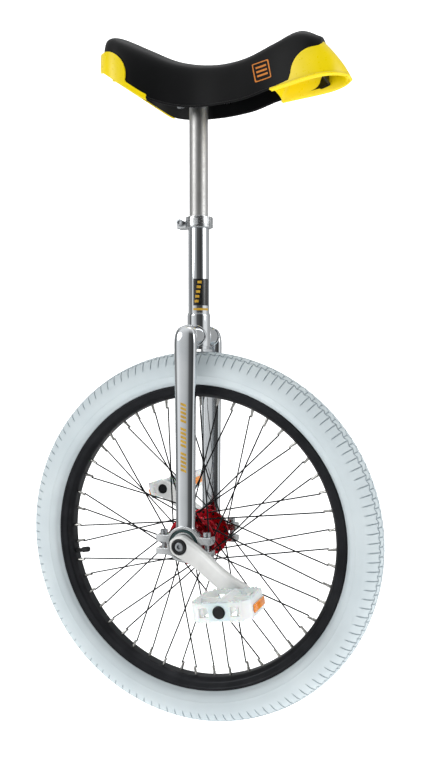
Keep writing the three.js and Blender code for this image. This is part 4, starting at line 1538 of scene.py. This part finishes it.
def bracket_shape():
    """Pressed plate with four bolt holes and a welded socket."""
    outline = rounded([(-44, -24), (45, -24), (45, 24), (-44, 24)], 7, 6)
    holes = [arc((x, y), 3.3, 0, 345, 23) for x, y in SADDLE_BOLTS]
    plate = moved(slab([outline, *holes], 3.0, 0.5), (0, 0, BRACKET_HEIGHT + 1.5))
    socket = [(0, -22), (9.4, -22, 0.8), (10.7, -20.5, 0.4), (10.7, 1, 0), (0, 1)]
    socket = moved(upright(spin(rounded(socket, 0.4, 4, closed=False), 64)), (0, 0, BRACKET_HEIGHT))
    return joined(plate, socket)


def saddle_bolt_shape():
    """Hex bolt up through the bracket, its head below."""
    head = hex_head(5.8, 4.2, washer_radius=5.8)
    head.transform(Matrix.Rotation(math.pi, 4, "X"))
    head = moved(head, (0, 0, BRACKET_HEIGHT - 0.4))
    shank = upright(spin([(0, -1), (3, -1), (3, 9.5), (0, 9.5)], 24))
    return joined(head, moved(shank, (0, 0, BRACKET_HEIGHT)))


# ---------------------------------------------------------------- printed marks
def band_on_tube(radius, start, end, height_low, height_high, steps=16):
    """A thin printed patch round the seat tube between two angles, measured from straight ahead."""
    rings = []
    for k in range(steps + 1):
        turn = math.radians(lerp(start, end, k / steps))
        c, s = math.cos(turn), math.sin(turn)
        rings.append([
            Vector((r * c, r * s, z))
            for r, z in (
                (radius + 0.02, height_low),
                (radius + 0.10, height_low + 0.1),
                (radius + 0.10, height_high - 0.1),
                (radius + 0.02, height_high),
            )
        ])
    return skin(rings)


def leg_mark_shape():
    """A plain column of slanted gold bars down the outside of a leg."""
    bars = []
    for k in range(18):
        height = 96 + 5.4 * k
        if k % 6 == 5:
            continue
        rings = []
        for m in range(9):
            x = lerp(-4.0, 4.0, m / 8)
            wall = LEG_OFFSET + leg_wall(x, 13.4)
            lift = 0.35 * x
            rings.append([
                Vector((x, wall + out, height + lift + up))
                for out, up in ((-0.2, 0), (0.1, 0.1), (0.1, 3.5), (-0.2, 3.6))
            ])
        bars.append(skin(rings))
    return joined(*bars)


def saddle_mark_shape():
    """A plain outlined badge of three bars on the saddle's right flank."""
    loops = []
    frame_outer = rounded([(88, 600), (110, 605), (105, 629), (83, 624)], 2.0, 4)
    loops.append(
        slab(
            [frame_outer, rounded([(89.4, 601.8), (108.4, 606.1), (103.6, 627.2), (84.6, 622.9)], 1.4, 4)],
            60, 0.0, axis="Y"
        )
    )
    for k in range(3):
        low = 606.5 + 5.4 * k
        shift = -1.2 * k
        bar = [
            (91 + shift, low), (105 + shift, low + 3.2), (104.5 + shift, low + 5.6),
            (90.5 + shift, low + 2.4)
        ]
        loops.append(slab([bar], 60, 0.0, axis="Y"))
    cutter = moved(joined(*loops), (0, -40, 0))
    sections = hood(stations_between(70, 125, 44), saddle_half_width, saddle_top, saddle_edge, grow=0.12)
    sections = [s for s in sections if 71 < s[0].x < 124]
    wall = thickened(skin(sections, closed_ends=False, around=False), 0.3)
    return carved(wall, cutter, operation="INTERSECT")


# ---------------------------------------------------------------- settings
class UnicycleWheelSettings(bpy.types.PropertyGroup):
    """Sizes of the wheel that a user would change."""

    tread_depth: FloatProperty(
        name="Tread depth", description="Depth of the grooves between the tread blocks",
        default=1.5 * MM, unit="LENGTH"
    )
    groove_width: FloatProperty(
        name="Groove width", description="Width of the grooves and shoulder cuts",
        default=1.3 * MM, unit="LENGTH"
    )
    zigzag: FloatProperty(
        name="Zigzag", description="How far the ring grooves swing to each side",
        default=1.5 * MM, unit="LENGTH"
    )
    shoulder_cuts: IntProperty(
        name="Shoulder cuts", description="Cuts round each shoulder of the tyre", default=127, min=12
    )
    spoke_radius: FloatProperty(
        name="Spoke radius", description="Radius of a spoke's wire", default=1.0 * MM, unit="LENGTH"
    )


class UnicycleColourSettings(bpy.types.PropertyGroup):
    """Colours that a user would change."""

    bumper_hex: bpy.props.StringProperty(
        name="Bumper colour", description="sRGB hex colour of the saddle bumpers", default="#F2D600"
    )


class UnicycleStudioSettings(bpy.types.PropertyGroup):
    """The camera and the light on the object."""

    lens: FloatProperty(
        name="Lens", description="Focal length for a 36 mm tall frame", default=39.57, unit="CAMERA"
    )
    key_strength: FloatProperty(
        name="Left light", description="Power of the left soft box", default=14.0, unit="POWER"
    )
    fill_strength: FloatProperty(
        name="Right light", description="Power of the right soft box", default=11.0, unit="POWER"
    )
    top_strength: FloatProperty(
        name="Top light", description="Power of the soft box overhead", default=12.0, unit="POWER"
    )
    sky: FloatVectorProperty(
        name="Room colour", description="Light from the white room",
        default=(0.97, 0.99, 1.0), size=3, subtype="COLOR"
    )


# ---------------------------------------------------------------- operators
class UNICYCLE_OT_finishes(bpy.types.Operator):
    """Mix every finish on the object"""

    bl_idname = "unicycle.finishes"
    bl_label = "Mix finishes"

    def execute(self, context):
        make_all_finishes(context.scene.unicycle_colours)
        return {"FINISHED"}


class UNICYCLE_OT_tyre(bpy.types.Operator):
    """Build the tyre with its tread, and finish the tube and tape inside it"""

    bl_idname = "unicycle.tyre"
    bl_label = "Tyre"

    def execute(self, context):
        shape = build_tyre(context.scene.unicycle_wheel)
        add_piece(
            "tyre_casing", shape, "wheel", "pale_tyre_rubber", "rubber_moulded_pale", ["tyre"], angle=38
        )
        refinish("inner_tube", "rubber_butyl_black")
        refinish("rim_tape", "rubber_butyl_black")
        add_piece("valve_stem", valve_stem_shape(), "wheel", "black_rubber", "rubber_butyl_black")
        add_piece(
            "valve_dust_cap", valve_cap_shape(), "wheel", "black_plastic", "polypropylene_moulded_black",
            ["valve_cap"]
        )
        return {"FINISHED"}


class UNICYCLE_OT_rim(bpy.types.Operator):
    """Build the rim and the countersinks round its nipples"""

    bl_idname = "unicycle.rim"
    bl_label = "Rim"

    def execute(self, context):
        add_piece(
            "rim_extrusion", rim_shape(), "wheel", "black_anodised_aluminium", "aluminium_anodised_black",
            ["rim"]
        )
        wells = joined(*[hole_rim_shape(hole) for hole in range(SPOKES)])
        add_piece("rim_countersinks", wells, "wheel", "black_anodised_aluminium", "aluminium_anodised_black")
        return {"FINISHED"}


class UNICYCLE_OT_spokes(bpy.types.Operator):
    """Lace the spokes, and fit their nipples"""

    bl_idname = "unicycle.spokes"
    bl_label = "Spokes and nipples"

    def execute(self, context):
        radius = context.scene.unicycle_wheel.spoke_radius / MM
        for side, odd in (("right", 0), ("left", 1)):
            wires = joined(*[spoke_shape(hole, radius) for hole in range(odd, SPOKES, 2)])
            add_piece(
                f"{side}_spoke_set", wires, "wheel", "black_spokes", "steel_wire_blackened",
                [f"{side}_spokes"]
            )
            nipples = joined(*[nipple_shape(hole) for hole in range(odd, SPOKES, 2)])
            add_piece(f"{side}_nipples", nipples, "wheel", "zinc_plated_steel", "brass_nickel_plated")
        return {"FINISHED"}


class UNICYCLE_OT_hub(bpy.types.Operator):
    """Build the hub shell, and finish its axle"""

    bl_idname = "unicycle.hub"
    bl_label = "Hub"

    def execute(self, context):
        add_piece(
            "hub_body", hub_shape(), "wheel", "red_anodised_aluminium", "aluminium_anodised_red",
            ["hub_shell"]
        )
        refinish("hub_axle", "steel_zinc_plated")
        return {"FINISHED"}


class UNICYCLE_OT_bearings(bpy.types.Operator):
    """Build both bearings with their holders, caps, seals and bolts"""

    bl_idname = "unicycle.bearings"
    bl_label = "Bearings and holders"

    def execute(self, context):
        steel = ("bearing_steel", "bearing_steel_ground")
        bright = ("polished_aluminium", "aluminium_cast_polished")
        for side, turn in SIDES:
            pieces = (
                ("bearing_holder", holder_shape(1), "frame", *bright, "bearing_housing"),
                ("bearing_holder_cap", holder_shape(-1), "frame", *bright, "bearing_cap"),
                ("bearing_outer_ring", ring_shape(16.4, 20.0, 44.1, 55.9), "frame", *steel, "outer_race"),
                ("bearing_inner_ring", ring_shape(8.7, 12.0, 44.1, 55.9), "wheel", *steel, "inner_race"),
                ("bearing_balls", ball_cage_shape(), "wheel", *steel, "ball_cage"),
                (
                    "bearing_lip_seal", self.seal(), "frame", "seal_rubber", "rubber_nitrile_teal",
                    "bearing_seal"
                ),
                ("bearing_shield", ring_shape(12.6, 16.1, 56.3, 57.5), "frame", *bright, None),
            )
            for name, shape, body, slot, material, node in pieces:
                stands_for = [f"{side}_{node}"] if node else []
                add_piece(f"{side}_{name}", shape, body, slot, material, stands_for, place=turn)
            for end, x in (("front", EAR_BOLT), ("rear", -EAR_BOLT)):
                place = Matrix.Translation((x, BEARING_OFFSET * (1 if side == "left" else -1), 0))
                node = f"{side}_{end}_bearing_bolt"
                name = f"{side}_{end}_holder_bolt"
                add_piece(
                    name, ear_bolt_shape(), "frame", "zinc_plated_steel", "steel_zinc_plated", [node],
                    place=place
                )
        return {"FINISHED"}

    @staticmethod
    def seal():
        profile = [(16.3, 56.3), (19.5, 56.3), (19.5, 57.6), (18.4, 57.6), (17.6, 57.1), (16.3, 57.3)]
        return spin(rounded(profile, 0.3, 3), 72, closed=True)


class UNICYCLE_OT_cranks(bpy.types.Operator):
    """Build the cranks, their bolts and dust rings, and the pedal spindles"""

    bl_idname = "unicycle.cranks"
    bl_label = "Cranks and spindles"

    def execute(self, context):
        drop = Matrix.Rotation(math.radians(CRANK_DROP), 4, "Y")
        outward = Matrix.Rotation(math.pi, 4, "X")
        for side, turn in (("right", Matrix.Identity(4)), ("left", HALF_TURN_Z)):
            place = drop @ turn @ outward
            pieces = (
                ("crank_arm", crank_shape(), "polished_aluminium", "aluminium_blasted_silver", "crank"),
                (
                    "crank_fixing_bolt", crank_bolt_shape(), "zinc_plated_steel", "steel_zinc_plated",
                    "crank_bolt"
                ),
                (
                    "crank_dust_seal", dust_ring_shape(), "black_plastic", "polypropylene_moulded_black",
                    "crank_dust_ring"
                ),
                ("pedal_axle", spindle_shape(), "black_oxide_steel", "steel_black_oxide", "pedal_spindle"),
            )
            for name, shape, slot, material, node in pieces:
                add_piece(f"{side}_{name}", shape, "wheel", slot, material, [f"{side}_{node}"], place=place)
        return {"FINISHED"}


class UNICYCLE_OT_pedals(bpy.types.Operator):
    """Build both pedals with their end caps, bushes and reflectors"""

    bl_idname = "unicycle.pedals"
    bl_label = "Pedals"

    def execute(self, context):
        for side, turn in SIDES:
            reach = 1 if side == "right" else -1
            angle = math.radians(CRANK_DROP)
            centre = (reach * CRANK_LENGTH * math.cos(angle), 0, -reach * CRANK_LENGTH * math.sin(angle))
            tilt = Matrix.Rotation(math.radians(-PEDAL_TILT[side]), 4, "Y")
            place = Matrix.Translation(centre) @ tilt @ turn
            body = f"{side}_pedal"
            facing = -1 if side == "right" else 1
            pieces = (
                (
                    "pedal_platform", pedal_shape(), "white_pedal_plastic", "polycarbonate_moulded_white",
                    "pedal_body"
                ),
                (
                    "pedal_cap", end_cap_shape(), "black_plastic", "polypropylene_moulded_black",
                    "pedal_end_cap"
                ),
                (
                    "pedal_sleeve", ring_shape(5.2, 7.7, 104, 159, 0.3), "black_plastic",
                    "polypropylene_moulded_black", "pedal_bush"
                ),
                (
                    "front_lens", reflector_shape(facing), "amber_reflector", "acrylic_moulded_amber",
                    "pedal_front_reflector"
                ),
                (
                    "rear_lens", reflector_shape(-facing), "amber_reflector", "acrylic_moulded_amber",
                    "pedal_rear_reflector"
                ),
            )
            for name, shape, slot, material, node in pieces:
                add_piece(f"{side}_{name}", shape, body, slot, material, [f"{side}_{node}"], place=place)
        return {"FINISHED"}


class UNICYCLE_OT_fork(bpy.types.Operator):
    """Build the fork legs, the crown and the seat tube"""

    bl_idname = "unicycle.fork"
    bl_label = "Fork and seat tube"

    def execute(self, context):
        chrome = ("frame", "chromed_steel", "chromed_steel_polished")
        for side, turn in SIDES:
            add_piece(f"{side}_fork_leg", leg_shape(), *chrome, [f"{side}_leg"], place=turn)
            mark = leg_mark_shape()
            add_piece(f"{side}_leg_bars", mark, "frame", "chromed_steel", "ink_printed_gold", place=turn)
        add_piece("crown", crown_shape(), *chrome, ["fork_crown"])
        add_piece("frame_tube", seat_tube_shape(), *chrome, ["seat_tube"])
        return {"FINISHED"}


class UNICYCLE_OT_tube_band(bpy.types.Operator):
    """Print a plain dark panel with gold bars on the seat tube"""

    bl_idname = "unicycle.tube_band"
    bl_label = "Seat tube print"

    def execute(self, context):
        panel = band_on_tube(SEAT_TUBE_RADIUS, -100, -8, 316, 352, 24)
        add_piece("tube_panel", panel, "frame", "chromed_steel", "ink_printed_black")
        bars = [
            band_on_tube(SEAT_TUBE_RADIUS + 0.08, -92 + 4 * k, -70 + 4 * k, 320 + 6.4 * k, 323.6 + 6.4 * k)
            for k in range(5)
        ]
        bars.append(band_on_tube(SEAT_TUBE_RADIUS, -100, -8, 309.5, 312.5, 24))
        add_piece("tube_bars", joined(*bars), "frame", "chromed_steel", "ink_printed_gold")
        return {"FINISHED"}


class UNICYCLE_OT_clamp(bpy.types.Operator):
    """Build the seat clamp and its bolt"""

    bl_idname = "unicycle.clamp"
    bl_label = "Seat clamp"

    def execute(self, context):
        add_piece(
            "clamp_band", clamp_shape(), "frame", "polished_aluminium", "aluminium_cast_polished",
            ["seat_clamp"]
        )
        add_piece(
            "clamp_screw", clamp_bolt_shape(), "frame", "zinc_plated_steel", "steel_zinc_plated",
            ["seat_clamp_bolt"]
        )
        return {"FINISHED"}


class UNICYCLE_OT_post(bpy.types.Operator):
    """Build the seat post, the saddle bracket and its bolts"""

    bl_idname = "unicycle.post"
    bl_label = "Seat post and bracket"

    def execute(self, context):
        add_piece(
            "post_tube", seat_post_shape(), "seat", "brushed_post_steel", "steel_post_ground", ["seat_post"]
        )
        add_piece(
            "bracket_plate", bracket_shape(), "seat", "zinc_plated_steel", "steel_zinc_plated",
            ["saddle_bracket"]
        )
        for x, y in SADDLE_BOLTS:
            place = f"{'front' if x > 0 else 'rear'}_{'left' if y > 0 else 'right'}"
            shape = saddle_bolt_shape()
            add_piece(
                f"bracket_bolt_{place}", shape, "seat", "zinc_plated_steel", "steel_zinc_plated",
                [f"saddle_{place}_bolt"], place=Matrix.Translation((x, y, 0)),
            )
        return {"FINISHED"}


class UNICYCLE_OT_saddle(bpy.types.Operator):
    """Build the saddle: skin, foam, base and both bumpers"""

    bl_idname = "unicycle.saddle"
    bl_label = "Saddle"

    def execute(self, context):
        skin_piece = add_piece(
            "saddle_skin_shell", cover_shape(), "seat", "saddle_skin", "vinyl_skin_grained",
            ["saddle_cover"], angle=60
        )
        foam = add_piece(
            "saddle_pad", foam_shape(), "seat", "seat_foam", "polyurethane_foam_grey", ["saddle_foam"],
            angle=50
        )
        refinish("saddle_base", "polypropylene_moulded_black")
        yellow = ("seat", "yellow_bumper_plastic", "polypropylene_moulded_yellow")
        add_piece("nose_bumper", front_bumper_shape(), *yellow, ["front_bumper"], angle=45)
        add_piece("tail_bumper", rear_bumper_shape(), *yellow, ["rear_bumper"], angle=45)
        add_piece("saddle_badge", saddle_mark_shape(), "seat", "saddle_skin", "ink_printed_orange")
        return {"FINISHED"}


class UNICYCLE_OT_stage(bpy.types.Operator):
    """Set the pale sweep and surround, the soft lights and the camera"""

    bl_idname = "unicycle.stage"
    bl_label = "Studio"

    def execute(self, context):
        studio = context.scene.unicycle_studio
        scene = context.scene
        scene.view_settings.view_transform = "Standard"
        turn = Matrix.Rotation(CAMERA_YAW, 4, "Z")
        self.sweep(turn)
        self.surround()
        lights = (
            ("left_softbox", (-2.3, -1.3, 1.5), 1.3, studio.key_strength),
            ("right_softbox", (2.3, -1.0, 1.3), 1.3, studio.fill_strength),
            ("top_softbox", (0.0, 0.2, 2.9), 1.6, studio.top_strength),
        )
        for name, place, size, power in lights:
            self.light(scene, name, turn @ Vector(place), size, power)
        self.room(scene, studio)
        self.camera(scene, studio)
        return {"FINISHED"}

    @staticmethod
    def sweep(turn):
        """A floor that curves up into a back wall."""
        profile = [(-4.0, 0.0), (2.2, 0.0)]
        profile += [
            (2.2 + 1.4 * math.sin(a), 1.4 - 1.4 * math.cos(a))
            for a in [math.radians(7.5 * k) for k in range(1, 13)]
        ]
        profile += [(3.6, 5.0)]
        made = skin(
            [[Vector((x, y, z)) for y, z in profile] for x in (-5.0, 0.0, 5.0)], closed_ends=False,
            around=False
        )
        made.transform(turn)
        mesh = bpy.data.meshes.new("sweep")
        made.to_mesh(mesh)
        made.free()
        mesh.shade_smooth()
        mesh.materials.append(bpy.data.materials["studio_paper_white"])
        sweep = bpy.data.objects.new("sweep", mesh)
        bpy.context.scene.collection.objects.link(sweep)
        sweep.visible_glossy = False
        return sweep

    @staticmethod
    def surround():
        """A pale round wall far outside the lights, seen only straight on."""
        radius, foot, head = 9.0, -0.4, 9.0
        turns = [2 * math.pi * k / 72 for k in range(73)]
        rings = [
            [Vector((radius * math.cos(a), radius * math.sin(a), z)) for a in turns] for z in (foot, head)
        ]
        made = skin(rings, closed_ends=False, around=False)
        mesh = bpy.data.meshes.new("surround")
        made.to_mesh(mesh)
        made.free()
        mesh.materials.append(bpy.data.materials["studio_paper_white"])
        wall = bpy.data.objects.new("surround", mesh)
        bpy.context.scene.collection.objects.link(wall)
        wall.visible_glossy = False
        wall.visible_diffuse = False
        wall.visible_transmission = False
        wall.visible_shadow = False
        return wall

    @staticmethod
    def light(scene, name, place, size, power):
        lamp = bpy.data.lights.new(name, "AREA")
        lamp.shape = "DISK"
        lamp.size = size
        lamp.energy = power
        lit = bpy.data.objects.new(name, lamp)
        scene.collection.objects.link(lit)
        lit.location = place
        aim = Vector((0, 0, 0.45)) - place
        lit.rotation_euler = aim.to_track_quat("-Z", "Y").to_euler()

    @staticmethod
    def room(scene, studio):
        """A room that shiny tubes mirror: tall bright walls left and right, dark behind the camera."""
        world = bpy.data.worlds.new("studio_room")
        world.use_nodes = True
        scene.world = world
        tree = world.node_tree
        tree.nodes.clear()
        place = add_node(tree, "ShaderNodeTexCoord").outputs["Generated"]
        turned = add_node(
            tree,
            "ShaderNodeMapping",
            {"vector_type": "POINT", "Rotation": (0.0, 0.0, -CAMERA_YAW)},
            {"Vector": place},
        )
        parts = add_node(tree, "ShaderNodeSeparateXYZ", links={0: turned.outputs["Vector"]})
        toward = add_node(tree, "ShaderNodeMath", {"operation": "MULTIPLY", 1: -1.0}, {0: parts.outputs["Y"]})
        around = add_node(
            tree, "ShaderNodeMath", {"operation": "ARCTAN2"}, {0: parts.outputs["X"], 1: toward.outputs[0]}
        )
        share = add_node(
            tree,
            "ShaderNodeMapRange",
            {"From Min": -math.pi, "From Max": math.pi, "To Min": 0.0, "To Max": 1.0},
            {"Value": around.outputs[0]},
        )
        ramp = add_node(tree, "ShaderNodeValToRGB", links={0: share.outputs["Result"]})
        stops = ramp.color_ramp.elements
        for k, (degrees, level) in enumerate(ROOM_WALLS):
            position = (degrees + 180) / 360
            stop = stops[k] if k < 2 else stops.new(position)
            stop.position = position
            stop.color = (level, level, level, 1.0)
        height = add_node(
            tree,
            "ShaderNodeMapRange",
            {"From Min": 0.55, "From Max": 0.95, "To Min": 0.0, "To Max": 1.0},
            {"Value": parts.outputs["Z"]},
        )
        lit = add_node(
            tree,
            "ShaderNodeMix",
            {"data_type": "RGBA", 7: (0.9, 0.9, 0.9, 1.0)},
            {0: height.outputs["Result"], 6: ramp.outputs["Color"]},
        )
        floor = add_node(
            tree,
            "ShaderNodeMapRange",
            {"From Min": -0.25, "From Max": -0.6, "To Min": 0.0, "To Max": 1.0},
            {"Value": parts.outputs["Z"]},
        )
        below = add_node(
            tree,
            "ShaderNodeMix",
            {"data_type": "RGBA", 7: (0.55, 0.55, 0.55, 1.0)},
            {0: floor.outputs["Result"], 6: lit.outputs[2]},
        )
        tint = add_node(
            tree,
            "ShaderNodeMix",
            {"data_type": "RGBA", "blend_type": "MULTIPLY", 0: 1.0, 7: (*studio.sky, 1.0)},
            {6: below.outputs[2]},
        )
        light = add_node(tree, "ShaderNodeBackground", links={"Color": tint.outputs[2]})
        add_node(tree, "ShaderNodeOutputWorld", links={"Surface": light.outputs[0]})

    @staticmethod
    def camera(scene, studio):
        lens = bpy.data.cameras.new("camera")
        lens.lens = studio.lens
        lens.sensor_width = 36
        lens.sensor_height = 36
        camera = bpy.data.objects.new("camera", lens)
        scene.collection.objects.link(camera)
        camera.location = CAMERA_PLACE
        along = Vector((
            -math.sin(CAMERA_YAW) * math.cos(CAMERA_PITCH),
            math.cos(CAMERA_YAW) * math.cos(CAMERA_PITCH),
            math.sin(CAMERA_PITCH),
        ))
        camera.rotation_euler = along.to_track_quat("-Z", "Y").to_euler()
        scene.camera = camera


# The room's walls: bearing in degrees from straight behind the camera, positive to its right, and brightness.
ROOM_WALLS = (
    (-180, 0.42),
    (-106, 0.44),
    (-97, 0.05),
    (-89, 0.10),
    (-80, 0.50),
    (-66, 0.98),
    (-42, 0.64),
    (-28, 0.44),
    (-17, 0.11),
    (30, 0.04),
    (42, 0.22),
    (52, 0.90),
    (84, 0.94),
    (100, 0.55),
    (118, 0.42),
    (180, 0.40),
)

CAMERA_YAW = 0.3434
CAMERA_PITCH = -0.0348
CAMERA_PLACE = AXLE + Vector((0.4180, -1.0771, 0.2497))

OPERATORS = (
    UNICYCLE_OT_finishes,
    UNICYCLE_OT_tyre,
    UNICYCLE_OT_rim,
    UNICYCLE_OT_spokes,
    UNICYCLE_OT_hub,
    UNICYCLE_OT_bearings,
    UNICYCLE_OT_cranks,
    UNICYCLE_OT_pedals,
    UNICYCLE_OT_fork,
    UNICYCLE_OT_tube_band,
    UNICYCLE_OT_clamp,
    UNICYCLE_OT_post,
    UNICYCLE_OT_saddle,
    UNICYCLE_OT_stage,
)


class UNICYCLE_PT_builder(bpy.types.Panel):
    """Lists the pieces and the settings they use"""

    bl_idname = "UNICYCLE_PT_builder"
    bl_label = "Unicycle"
    bl_space_type = "VIEW_3D"
    bl_region_type = "UI"
    bl_category = "Unicycle"

    def draw(self, context):
        scene = context.scene
        for settings in (scene.unicycle_wheel, scene.unicycle_colours, scene.unicycle_studio):
            for key in settings.__annotations__:
                self.layout.prop(settings, key)
        for operator in OPERATORS:
            self.layout.operator(operator.bl_idname)


SETTINGS = (
    ("unicycle_wheel", UnicycleWheelSettings),
    ("unicycle_colours", UnicycleColourSettings),
    ("unicycle_studio", UnicycleStudioSettings),
)


def register():
    for name, group in SETTINGS:
        bpy.utils.register_class(group)
        setattr(bpy.types.Scene, name, PointerProperty(type=group))
    for operator in OPERATORS:
        bpy.utils.register_class(operator)
    bpy.utils.register_class(UNICYCLE_PT_builder)


def unregister():
    bpy.utils.unregister_class(UNICYCLE_PT_builder)
    for operator in reversed(OPERATORS):
        bpy.utils.unregister_class(operator)
    for name, group in reversed(SETTINGS):
        delattr(bpy.types.Scene, name)
        bpy.utils.unregister_class(group)


def main():
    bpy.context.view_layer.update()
    register()
    for operator in OPERATORS:
        family, action = operator.bl_idname.split(".")
        getattr(getattr(bpy.ops, family), action)()


if __name__ == "__main__":
    main()
